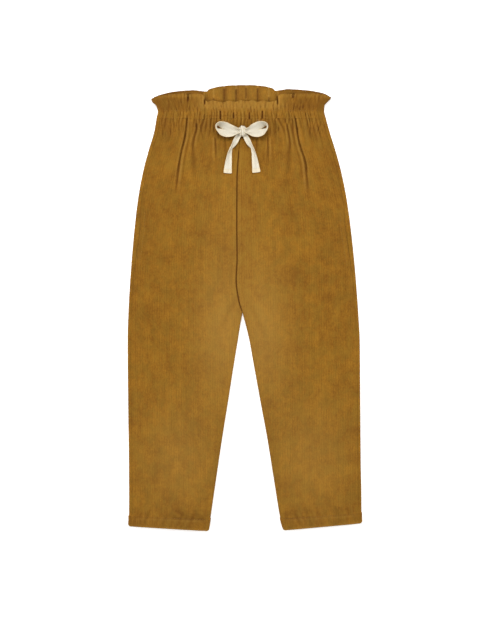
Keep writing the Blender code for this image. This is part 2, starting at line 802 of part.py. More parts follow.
def tape(name, stations, steps, material):
    """Sweep a flat tape along stations. Its width lies square to the path, turned up by tilt."""
    path = blend_stations(stations, steps)
    points = []
    for n, here in enumerate(path):
        ahead = path[min(n + 1, len(path) - 1)]
        behind = path[max(n - 1, 0)]
        along = Vector((ahead.x - behind.x, ahead.y - behind.y, ahead.z - behind.z)).normalized()
        tilt = math.radians(here.tilt)
        plan = Vector((along.y, -along.x, 0.0)).normalized()
        across = plan * math.cos(tilt) + Vector((0.0, 0.0, math.sin(tilt)))
        across = (across - along * across.dot(along)).normalized()
        face = along.cross(across)
        centre = Vector((here.x, here.y, here.z))
        for u, v in ((-0.5, -0.5), (0.5, -0.5), (0.5, 0.5), (-0.5, 0.5)):
            points.append(centre + across * (u * here.width) + face * (v * TAPE_THICK))
    faces = [(0, 1, 2, 3)]
    for n in range(len(path) - 1):
        for i in range(4):
            j = (i + 1) % 4
            a = 4 * n + i
            b = 4 * n + j
            faces.append((a, b, b + 4))
            faces.append((a, b + 4, a + 4))
    end = 4 * (len(path) - 1)
    faces.append((end + 3, end + 2, end + 1, end))
    return solid(name, points, faces, material)


def front_top(x, y):
    """Height of the front's outer face at a point, over the highest gathers there."""
    side = "left" if x < read(RISE_SEAM, "y", "x", y) else "right"
    row = panel_row(side, y, y)
    distance = abs(x - row.outer.x)
    top, under = layer_point(row, distance, False, upper_lift(row, distance))
    return top.z + GATHER_HEIGHT * (1.0 - smooth((SEAM_Y - y) / (1.5 * GATHER_LENGTH)))


def knot(base, material):
    """The bow's knot, a rounded lump of tape."""
    points = []
    faces = []
    around = 14
    levels = 7
    centre = Vector((KNOT_X, KNOT_Y, base + KNOT_HALF[2]))

    def rounded(value):
        """Square off a sine or cosine a little."""
        return math.copysign(abs(value) ** 0.75, value)

    for level in range(1, levels):
        high = -math.pi / 2 + math.pi * level / levels
        for n in range(around):
            angle = 2.0 * math.pi * n / around
            points.append(centre + Vector((
                KNOT_HALF[0] * rounded(math.cos(high)) * rounded(math.cos(angle)),
                KNOT_HALF[1] * rounded(math.cos(high)) * rounded(math.sin(angle)),
                KNOT_HALF[2] * rounded(math.sin(high)))))
    for level in range(levels - 2):
        for n in range(around):
            a = level * around + n
            b = level * around + (n + 1) % around
            faces.append((a, b, b + around))
            faces.append((a, b + around, a + around))
    faces.append(tuple(reversed(range(around))))
    faces.append(tuple(range((levels - 2) * around, (levels - 1) * around)))
    return solid("knot", points, faces, material)


def tape_stations(places, side, clear, reach=1.0):
    """Stations for places along the tape, resting a clear height over the gathers.

    reach scales how far the tape goes out from the place nearest to the knot.
    """
    sign = -1.0 if side == "left" else 1.0
    near = min(place.out for place in places)
    stations = []
    for place in places:
        x = KNOT_X + sign * (near + (place.out - near) * reach)
        y = KNOT_Y + place.up
        rest = front_top(x, y) + clear + TAPE_THICK / 2
        z = rest + 0.5 * place.width * abs(math.sin(math.radians(place.tilt)))
        stations.append(Station(x, y, z, place.tilt * sign, place.width))
    return stations


def bow(material):
    """Knot, loops, tails and the short leads that come out of the front."""
    base = front_top(KNOT_X, KNOT_Y) + TAPE_CLEAR
    knot(base, material)
    for side in ("left", "right"):
        tape("lead_" + side, tape_stations(LEAD, side, TAPE_CLEAR), 3, material)
        loop = tape_stations(LOOP, side, LOOP_CLEAR, LOOP_REACH[side])
        tape("loop_" + side, loop, 2, material)
        tape("tail_" + side, tape_stations(TAILS[side], side, TAPE_CLEAR), 3, material)


def main():
    """Build the trousers."""
    clear_scene()
    for side in ("left", "right"):
        front_panel(side, fabric("corduroy_front_" + side, CORDUROY, 0.9))
        back_panel(side, fabric("corduroy_back_" + side, CORDUROY, 0.9))
    waist_front(fabric("corduroy_waist_front", CORDUROY, 0.9))
    waist_back(fabric("corduroy_waist_back", CORDUROY, 0.9))
    bow(fabric("cotton_tape", COTTON_TAPE, 0.85))


main()
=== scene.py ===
"""A child's pull-on trousers in fine corduroy, laid flat: the dressed model on its CAD frame.

Sizes are in millimetres. X runs across the garment, Y is measured up from the lowest hem corner,
and Z is the height over the surface that the garment lies on. Every mesh is moved to the CAD
frame, in metres, as it is made.
"""
import logging
import math
from dataclasses import dataclass, field
from enum import Enum
from functools import cached_property, partial

import bmesh
import bpy
import numpy as np
from mathutils import Matrix


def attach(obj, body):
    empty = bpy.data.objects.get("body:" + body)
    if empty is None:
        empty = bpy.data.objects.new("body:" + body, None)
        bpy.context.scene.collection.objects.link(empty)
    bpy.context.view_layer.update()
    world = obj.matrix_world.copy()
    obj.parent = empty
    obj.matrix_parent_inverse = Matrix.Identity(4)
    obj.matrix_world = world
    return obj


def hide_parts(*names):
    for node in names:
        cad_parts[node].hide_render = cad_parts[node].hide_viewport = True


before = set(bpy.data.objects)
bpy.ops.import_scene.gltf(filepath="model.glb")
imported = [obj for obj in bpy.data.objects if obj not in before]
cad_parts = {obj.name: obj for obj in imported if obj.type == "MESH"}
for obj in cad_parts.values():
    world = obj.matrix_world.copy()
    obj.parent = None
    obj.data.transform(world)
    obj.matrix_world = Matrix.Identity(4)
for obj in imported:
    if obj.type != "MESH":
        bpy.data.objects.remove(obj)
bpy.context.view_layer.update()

MM = 0.001
BASE_Y = -267.5         # puts the middle of the garment's length at the origin
LOG = logging.getLogger("trousers")

Array = np.ndarray
Pair = tuple[Array, Array]
Table = tuple[tuple[float, ...], ...]
Piece = bpy.types.Object
Material = bpy.types.Material
Node = bpy.types.Node


class Side(Enum):
    """The garment's halves, as the viewer sees them."""

    LEFT = "left"
    RIGHT = "right"

    @property
    def sign(self) -> float:
        """-1 on the left and 1 on the right."""
        return -1.0 if self is Side.LEFT else 1.0


class Layer(Enum):
    """The two layers of a garment that lies flat."""

    UPPER = 1.0
    LOWER = -1.0


# -- Shape helpers --

def ease(value: Array | float) -> Array:
    """Ease from 0 to 1 as a value goes from 0 to 1."""
    inside = np.clip(value, 0, 1)
    return inside * inside * (3 - 2 * inside)


def bell(distance: Array | float, width: Array | float) -> Array:
    """A smooth bump that is 1 high where the distance is 0."""
    return np.exp(-(np.asarray(distance) / width) ** 2)


def uneven(index: Array | float, seed: float) -> Array:
    """A repeatable number from 0 to 1 that differs from one index to the next."""
    index = np.asarray(index, dtype=float)
    return 0.5 + 0.5 * np.sin(index * 2.399 + seed * 1.7 + np.sin(index * 5.1 + seed))


def ripple(x: Array, y: Array, seed: float) -> Array:
    """Smooth random relief.

    Args:
        x: places along the first axis, one lump for each unit.
        y: places along the second axis, one lump for each unit.
        seed: picks the pattern.

    Returns:
        Heights from -1 to 1.
    """
    cell_x, cell_y = np.floor(x), np.floor(y)
    part_x, part_y = ease(x - cell_x), ease(y - cell_y)

    def corner(step_x: int, step_y: int) -> Array:
        """The fixed random height at one corner of each cell."""
        mixed = np.sin((cell_x + step_x) * 127.1 + (cell_y + step_y) * 311.7 + seed * 74.7)
        return 2 * (mixed * 43758.5453 - np.floor(mixed * 43758.5453)) - 1

    low = corner(0, 0) * (1 - part_x) + corner(1, 0) * part_x
    high = corner(0, 1) * (1 - part_x) + corner(1, 1) * part_x
    return low * (1 - part_y) + high * part_y


def hollowness(height: Array, reach: int, depth: float) -> Array:
    """How far each point lies in a hollow of its row.

    Args:
        height: heights, rows x columns.
        reach: how many columns to each side make up its surroundings.
        depth: depth in millimetres that counts as a full hollow.

    Returns:
        From -1 on a sharp ridge to 1 in a deep hollow.
    """
    padded = np.pad(height, ((0, 0), (reach, reach)), mode="edge")
    total = np.cumsum(np.pad(padded, ((0, 0), (1, 0))), axis=1)
    span = 2 * reach + 1
    around = (total[:, span:] - total[:, :-span]) / span
    return np.clip((around - height) / depth, -1, 1)


def find_span(keys: Array, at: Array | float) -> Pair:
    """Find the stretch between two keys that each place lies in.

    Args:
        keys: rising numbers.
        at: places.

    Returns:
        The number of each stretch, and how far along it the place lies, from 0 to 1.
    """
    inside = np.clip(np.asarray(at, dtype=float), keys[0], keys[-1])
    n = np.clip(np.searchsorted(keys, inside, side="right") - 1, 0, len(keys) - 2)
    return n, (inside - keys[n]) / (keys[n + 1] - keys[n])


def travelled(line: Array) -> Array:
    """Distance along a line at each of its points."""
    steps = np.linalg.norm(np.diff(line, axis=0), axis=-1)
    return np.concatenate([[0], np.cumsum(steps)])


def marks(wear_and_highlight: Array, shade: Array) -> Array:
    """Wear with painted highlight, and painted shade, side by side, each from 0 to 1, as the
    finishes read them.
    """
    return np.clip(np.stack([wear_and_highlight, shade], axis=-1), 0, 1)


@dataclass(frozen=True)
class Curve:
    """A smooth curve through the rows of a table, level beyond both ends."""

    keys: Array
    values: Array

    @classmethod
    def through(cls, rows: Table, column: int = 1) -> "Curve":
        """Make the curve of one column against the first."""
        table = np.array(sorted(rows), dtype=float)
        return cls(table[:, 0], table[:, column])

    @cached_property
    def slopes(self) -> Array:
        """Slope of the curve, kept from overshooting.

        Returns:
            The slope at each row of the table.
        """
        steps = np.diff(self.values) / np.diff(self.keys)
        before, after = steps[:-1], steps[1:]
        same_way = before * after > 0
        total = np.where(same_way, before + after, 1)
        middle = np.where(same_way, 2 * before * after / total, 0)
        return np.concatenate([steps[:1], middle, steps[-1:]])

    def __call__(self, at: Array | float) -> Array:
        """Read the curve.

        Args:
            at: one place, or many.

        Returns:
            The value at each.
        """
        n, s = find_span(self.keys, at)
        span = self.keys[n + 1] - self.keys[n]
        rise = self.values[n + 1] - self.values[n]
        start = self.slopes[n] * span
        end = self.slopes[n + 1] * span
        return (self.values[n] + start * s + (3 * rise - 2 * start - end) * s * s
                + (start + end - 2 * rise) * s ** 3)


# -- Meshes --

def place_in_frame(points: Array) -> Array:
    """Turn points in the garment's millimetres to the CAD frame's metres."""
    return (np.asarray(points, dtype=float) + np.array([0, BASE_Y, 0])) * MM


def make_piece(name: str, points: Array, faces: list | Array, layers: dict[str, Array],
               material: Material, sharp: float = 55.0) -> Piece:
    """Make a mesh object.

    Args:
        name: the piece's name.
        points: its corners, in the garment's millimetres.
        faces: corner numbers of each face.
        layers: UV maps, one pair of numbers for each corner.
        material: what it is finished in.
        sharp: edges that turn by more than this many degrees stay sharp.

    Returns:
        The new object.
    """
    mesh = bpy.data.meshes.new(name)
    corners = place_in_frame(points).reshape(-1, 3).tolist()
    mesh.from_pydata(corners, [], [list(map(int, face)) for face in faces])
    used = np.empty(len(mesh.loops), dtype=np.int64)
    mesh.loops.foreach_get("vertex_index", used)
    for layer_name, values in layers.items():
        pairs = np.asarray(values, dtype=np.float32).reshape(-1, 2)
        mesh.uv_layers.new(name=layer_name).uv.foreach_set("vector", pairs[used].ravel())
    mesh.shade_smooth()
    mesh.set_sharp_from_angle(angle=math.radians(sharp))
    mesh.materials.append(material)
    piece = bpy.data.objects.new(name, mesh)
    bpy.context.collection.objects.link(piece)
    return piece


def lattice_faces(rows: int, columns: int, start: int = 0, loop: bool = False) -> Array:
    """Quads of a grid of points.

    Args:
        rows: number of rows of points.
        columns: number of points in a row.
        start: number of the first point.
        loop: whether the last row joins the first.

    Returns:
        Corner numbers, four to a face.
    """
    row = np.arange(rows if loop else rows - 1)[:, None]
    column = np.arange(columns - 1)[None, :]
    here = row * columns + column
    beyond = ((row + 1) % rows) * columns + column
    quads = np.stack([here, here + 1, beyond + 1, beyond], axis=-1)
    return quads.reshape(-1, 4) + start


@dataclass(frozen=True)
class Cloth:
    """A thin closed sheet of cloth between two grids of points."""

    outer: Array        # rows x columns x 3
    inner: Array
    grain: Array        # rows x columns x 2, millimetres across and along the wales
    wear_and_painted_light: Array          # rows x columns x 2: wear with painted highlight, and painted shade
    top_round: float = 0.0      # how far the edge of the first row is rounded out
    end_round: float = 0.0      # and the edge of the last row

    def build(self, name: str, material: Material) -> Piece:
        """Join both faces along all four edges.

        Args:
            name: the piece's name.
            material: what it is finished in.

        Returns:
            The closed sheet.
        """
        rows, columns = self.outer.shape[:2]
        first = self._rim(0, 1, self.top_round)
        last = self._rim(-1, -2, self.end_round)
        points = np.concatenate([self.outer, last, self.inner[::-1], first])
        grain, wear_and_painted_light = (np.concatenate([each, each[-1:], each[::-1], each[:1]])
                      for each in (self.grain / 100, self.wear_and_painted_light))
        total = len(points)
        caps = []
        for column, turn in ((0, 1), (columns - 1, -1)):
            def corner(row: int) -> int:
                """The number of the corner in a row at this end."""
                return (row % total) * columns + column
            for n in range(rows - 1):
                facing = 2 * rows - n
                caps.append([corner(n), corner(n + 1), corner(facing - 1), corner(facing)][::turn])
            for rim in (rows, total - 1):
                caps.append([corner(rim - 1), corner(rim), corner(rim + 1)][::turn])
        faces = lattice_faces(total, columns, loop=True).tolist() + caps
        return outward(make_piece(name, points, faces, {"grain": grain, "wear_and_painted_light": wear_and_painted_light}, material))

    def _rim(self, edge: int, beside: int, size: float) -> Array:
        """Round off one edge.

        Args:
            edge: number of the edge's row.
            beside: number of the row next to it.
            size: how far the edge is rounded out.

        Returns:
            One more row of points, between the two faces.
        """
        middle = (self.outer[edge] + self.inner[edge]) / 2
        way = self.outer[edge] - self.outer[beside]
        way = way / np.maximum(np.linalg.norm(way, axis=-1, keepdims=True), 1e-6)
        return (middle + way * size)[None]


def outward(piece: Piece) -> Piece:
    """Turn a closed mesh's faces outward if they face in.

    Args:
        piece: a mesh piece, which is changed.

    Returns:
        The same piece.
    """
    mesh = piece.data
    mesh.calc_loop_triangles()
    points = np.empty(len(mesh.vertices) * 3)
    mesh.vertices.foreach_get("co", points)
    corners = np.empty(len(mesh.loop_triangles) * 3, dtype=np.int64)
    mesh.loop_triangles.foreach_get("vertices", corners)
    a, b, c = (points.reshape(-1, 3)[corners.reshape(-1, 3)[:, n]] for n in range(3))
    if np.einsum("ij,ij->i", a, np.cross(b, c)).sum() < 0:
        mesh.flip_normals()
    return piece


# -- Finishes --

def linear(hex_colour: str) -> tuple[float, float, float, float]:
    """Turn an sRGB colour to the linear colour that the shader takes.

    Args:
        hex_colour: the colour, written #RRGGBB.

    Returns:
        Red, green, blue and alpha.
    """
    values = [int(hex_colour[n:n + 2], 16) / 255 for n in (1, 3, 5)]
    return tuple(v / 12.92 if v <= 0.04045 else ((v + 0.055) / 1.055) ** 2.4
                 for v in values) + (1,)


def add_node(material: Material, kind: str, inputs: dict | None = None, **settings: str) -> Node:
    """Add a node with its settings, values and links.

    Args:
        material: whose node tree it goes in.
        kind: the node's type name, after ShaderNode.
        inputs: sockets by name or number, each with a value, with the output that feeds it, or
            with the node whose first output feeds it.
        settings: attributes of the node.

    Returns:
        The node.
    """
    node = material.node_tree.nodes.new("ShaderNode" + kind)
    for name, value in settings.items():
        setattr(node, name, value)
    for name, value in (inputs or {}).items():
        if isinstance(value, Node):
            value = value.outputs[0]
        if isinstance(value, bpy.types.NodeSocket):
            material.node_tree.links.new(value, node.inputs[name])
        else:
            node.inputs[name].default_value = value
    return node


def new_material(name: str, values: dict) -> tuple[Material, Node]:
    """Start a material with constant values on the shader's own sockets.

    Args:
        name: what the real material is and how it is made.
        values: the shader's sockets by name.

    Returns:
        The material and its shader node.
    """
    material = bpy.data.materials.new(name)
    material.use_nodes = True
    shader = material.node_tree.nodes["Principled BSDF"]
    for socket, value in values.items():
        shader.inputs[socket].default_value = value
    return material, shader


def feed_shader(material: Material, shader: Node, colour: Node, bump: Node) -> Material:
    """Link a mixed colour and a bump to the shader.

    Args:
        material: the material, which is changed.
        shader: its shader node.
        colour: the node that mixes the colour.
        bump: the node that makes the bump.

    Returns:
        The material.
    """
    material.node_tree.links.new(colour.outputs[2], shader.inputs["Base Color"])
    material.node_tree.links.new(bump.outputs["Normal"], shader.inputs["Normal"])
    return material


@dataclass(frozen=True)
class Corduroy:
    """Fine cotton corduroy: cut pile in narrow ribs, dyed mustard and washed soft.

    The cut pile is matt, with a soft bloom where it is seen at a low angle. The ribs catch the
    light, and shade is painted into the ground between them. Washing leaves long faint streaks
    along the wales and cloudy patches where the pile leans another way.
    """

    # Dark brown that painted shade mixes to: between the ribs, and in hollows, seams, pleats and
    # under the tape bow.
    groove: str = "#5C3508"
    shade: str = "#764C11"
    light: str = "#97681C"
    olive: str = "#7C601D"
    # Paler pile that wear and painted highlights mix to.
    wear_and_highlight: str = "#B58B42"
    bloom: str = "#B98426"
    wale_pitch: float = 2.9     # the real wales, 1.8 mm apart, are too fine to show here
    streak: tuple[float, float] = (4.2, 80.0)       # across and along the wales
    mottle: float = 38.0        # widest of the cloudy patches; each finer size is as strong
    nap: float = 9.0            # patches where the wales stand open and show
    tuft: float = 1.6
    # How much each pattern counts, and the sums at which the pile is darkest and lightest.
    rib_share: float = 0.27
    streak_share: float = 0.6
    mottle_share: float = 3.95
    tuft_share: float = 0.75
    tones: tuple[float, float] = (2.07, 3.38)
    roughness: float = 0.92

    def material(self, name: str) -> Material:
        """Make the material.

        Args:
            name: its name; every sewn piece has its own.

        Returns:
            The material.
        """
        made, shader = new_material(name, {
            "Roughness": self.roughness, "Specular IOR Level": 0.16, "Sheen Weight": 0.08,
            "Sheen Roughness": 0.45, "Sheen Tint": linear(self.bloom)})
        node = partial(add_node, made)
        grain = node("UVMap", uv_map="grain")
        nap = node("MapRange", {
            "Value": self._noise(made, grain, self.nap * 0.8, self.nap * 2.4, 2, 0.6),
            "From Min": 0.36, "From Max": 0.66, "To Min": 0.1, "To Max": 1})
        rib = self._wales(made, grain)
        shown = node("Math", {0: rib, 1: nap}, operation="MULTIPLY")
        streak = self._noise(made, grain, *self.streak, 2, 0.6)
        mottle = self._noise(made, grain, self.mottle, self.mottle * 1.2, 6, 0.95)
        tuft = self._noise(made, grain, self.tuft, self.tuft * 1.3, 1, 0.5)
        hue = self._noise(made, grain, self.mottle * 0.4, self.mottle * 0.6, 3, 0.8)
        tone = node("Math", {0: shown, 1: self.rib_share}, operation="MULTIPLY")
        for source, share in ((streak, self.streak_share), (mottle, self.mottle_share),
                              (tuft, self.tuft_share)):
            tone = node("Math", {0: source, 1: share, 2: tone}, operation="MULTIPLY_ADD")
        level = node("MapRange", {
            "Value": tone, "From Min": self.tones[0], "From Max": self.tones[1]})
        pile = node("Mix", {0: level, 6: linear(self.shade), 7: linear(self.light)},
                    data_type="RGBA")
        tint = node("MapRange", {
            "Value": hue, "From Min": 0.42, "From Max": 0.62, "To Min": 0, "To Max": 0.34})
        # Painted shade: the ground between the ribs is darkened towards the groove colour where
        # the nap lets it show.
        ground = node("MapRange", {
            "Value": rib, "From Min": 0, "From Max": 0.75, "To Min": 0.3, "To Max": 0})
        painted_ground_shade = node("Math", {0: ground, 1: nap}, operation="MULTIPLY")
        # Second UV map: its X lightens the pile for wear and painted highlights, its Y darkens it
        # with painted shade.
        wear_and_painted_light = node("SeparateXYZ", {0: node("UVMap", uv_map="wear_and_painted_light")})
        for part, colour in ((tint, self.olive), (painted_ground_shade, self.groove),
                             (wear_and_painted_light.outputs["X"], self.wear_and_highlight), (wear_and_painted_light.outputs["Y"], self.groove)):
            pile = node("Mix", {0: part, 6: pile.outputs[2], 7: linear(colour)}, data_type="RGBA")
        height = node("Math", {0: tuft, 1: 0.6, 2: shown}, operation="MULTIPLY_ADD")
        bump = node("Bump", {"Strength": 0.32, "Distance": 0.0006, "Height": height})
        return feed_shader(made, shader, pile, bump)

    def _wales(self, made: Material, grain: Node) -> Node:
        """Draw the round section of the ribs.

        Args:
            made: the material.
            grain: gives the places across and along the wales.

        Returns:
            The node that runs from 0 in the ground between the ribs to 1 on them.
        """
        node = partial(add_node, made)
        across = node("SeparateXYZ", {0: grain})
        wobble = node("TexNoise", {"Vector": grain, "Scale": 12, "Detail": 3},
                      noise_dimensions="2D")
        bent = node("Math", {0: wobble, 1: 2.2}, operation="MULTIPLY")
        phase = node("Math", {
            0: across.outputs["X"], 1: math.pi * 100 / self.wale_pitch, 2: bent},
            operation="MULTIPLY_ADD")
        wave = node("Math", {0: phase}, operation="SINE")
        rib = node("Math", {0: wave}, operation="ABSOLUTE")
        return node("Math", {0: rib, 1: 0.6}, operation="POWER")

    @staticmethod
    def _noise(made: Material, grain: Node, across: float, along: float, detail: float,
               roughness: float) -> Node:
        """Draw noise whose lumps have a real size.

        Args:
            made: the material.
            grain: gives the places across and along the wales.
            across: size of the lumps across the wales.
            along: size of the lumps along the wales.
            detail: how many finer sizes are added.
            roughness: how strong each finer size is.

        Returns:
            The noise node.
        """
        sized = add_node(made, "Mapping", {
            "Vector": grain, "Scale": (100 / across, 100 / along, 1)})
        return add_node(made, "TexNoise", {
            "Vector": sized, "Scale": 1, "Detail": detail, "Roughness": roughness},
            noise_dimensions="2D")


@dataclass(frozen=True)
class SewingThread:
    """Spun polyester sewing thread, dyed to match, with a slight gloss from its twist."""

    colour: str = "#93661C"
    dark: str = "#755012"
    twist: float = 0.5          # length of one turn of the ply

    def material(self, name: str) -> Material:
        """Make the material.

        Args:
            name: its name.

        Returns:
            The material.
        """
        made, shader = new_material(name, {
            "Roughness": 0.62, "Specular IOR Level": 0.35, "Sheen Weight": 0.1})
        node = partial(add_node, made)
        along = node("UVMap", uv_map="grain")
        ply = node("TexWave", {
            "Vector": along, "Scale": 31.4 / self.twist, "Distortion": 0.4},
            bands_direction="DIAGONAL").outputs["Fac"]
        mixed = node("Mix", {0: ply, 6: linear(self.dark), 7: linear(self.colour)},
                     data_type="RGBA")
        bump = node("Bump", {"Strength": 0.4, "Distance": 0.0001, "Height": ply})
        return feed_shader(made, shader, mixed, bump)


@dataclass(frozen=True)
class CottonTape:
    """Unbleached cotton twill tape, woven in a fine herringbone and washed.

    Thick soft yarns scatter the light, so it is matt and nearly white. The selvedges are
    warmer, where the natural cotton shows.
    """

    white: str = "#E3DBC9"
    grey: str = "#CFC8B6"
    warm: str = "#E4D0A6"
    # Grey that painted shade on the tape mixes to.
    hollow: str = "#9C917D"
    rib: float = 1.5            # the real yarns, 0.8 mm apart, drawn coarser so that they show

    def material(self, name: str) -> Material:
        """Make the material.

        Args:
            name: its name.

        Returns:
            The material.
        """
        made, shader = new_material(name, {
            "Roughness": 0.88, "Specular IOR Level": 0.2, "Sheen Weight": 0.12,
            "Sheen Roughness": 0.5, "Subsurface Weight": 0.08,
            "Subsurface Radius": (0.0012, 0.001, 0.0008), "Subsurface Scale": 0.5})
        node = partial(add_node, made)
        weave = node("UVMap", uv_map="grain")
        place = node("SeparateXYZ", {0: weave})
        folded = node("Math", {0: place.outputs["X"], 1: 0.025}, operation="PINGPONG")
        slant = node("Math", {0: folded, 1: 0.9, 2: place.outputs["Y"]}, operation="MULTIPLY_ADD")
        turns = node("Math", {0: slant, 1: math.pi * 100 / self.rib}, operation="MULTIPLY")
        wave = node("Math", {0: turns}, operation="SINE")
        rib = node("Math", {0: wave}, operation="ABSOLUTE")
        fuzz = node("TexNoise", {"Vector": weave, "Scale": 60, "Detail": 3}, noise_dimensions="2D")
        tone = node("Math", {0: fuzz, 1: 0.9, 2: rib}, operation="MULTIPLY_ADD")
        level = node("MapRange", {"Value": tone, "From Min": 0.4, "From Max": 1.4})
        yarn = node("Mix", {0: level, 6: linear(self.grey), 7: linear(self.white)},
                    data_type="RGBA")
        # Second UV map: its X warms the edges and painted highlights, its Y greys the tape with
        # painted shade.
        wear_and_painted_light = node("SeparateXYZ", {0: node("UVMap", uv_map="wear_and_painted_light")})
        for part, colour in ((wear_and_painted_light.outputs["X"], self.warm), (wear_and_painted_light.outputs["Y"], self.hollow)):
            yarn = node("Mix", {0: part, 6: yarn.outputs[2], 7: linear(colour)}, data_type="RGBA")
        bump = node("Bump", {"Strength": 0.35, "Distance": 0.00025, "Height": tone})
        return feed_shader(made, shader, yarn, bump)


@dataclass(frozen=True)
class OpalTable:
    """An opal acrylic light table, moulded matt: the plain surface under the garment.

    It glows a little, so that it stays white right up to the garment's edge.
    """

    white: str = "#FDFDFC"
    glow: float = 0.45

    def material(self, name: str) -> Material:
        """Make the material.

        Args:
            name: its name.

        Returns:
            The material.
        """
        return new_material(name, {
            "Base Color": linear(self.white), "Roughness": 0.8, "Specular IOR Level": 0.1,
            "Emission Color": linear(self.white), "Emission Strength": self.glow})[0]


# -- The garment's outline, shared by every piece --

@dataclass(frozen=True)
class Rows:
    """Straight rows across one leg, or one half of the seat, from the side fold inwards."""

    outer: Array        # n x 2, where each row meets the side fold
    inner: Array        # n x 2, where it meets the inseam or the rise seam
    fold: Array         # n, radius of the side fold
    wall: Array         # n, thickness of the cloth
    above: Array        # n, height over the crotch
    hem: Array          # n, from 0 on the leg to 1 in the hem

    @property
    def width(self) -> Array:
        """Length of each row, as a column."""
        return np.linalg.norm(self.inner - self.outer, axis=-1)[:, None]

    @property
    def along(self) -> Array:
        """Each row's direction."""
        return ((self.inner - self.outer) / self.width)[:, None, :]

    @property
    def level(self) -> Array:
        """Y of each row's outer end, as a column."""
        return self.outer[:, 1][:, None]

    @property
    def seat(self) -> Array:
        """1 on the seat's rows and 0 on the legs' rows, as a column."""
        return ease(self.above / 3)[:, None]

    def places(self, distance: Array) -> Array:
        """Points in plan at distances from the rows' outer ends."""
        return self.outer[:, None, :] + self.along * distance[..., None]


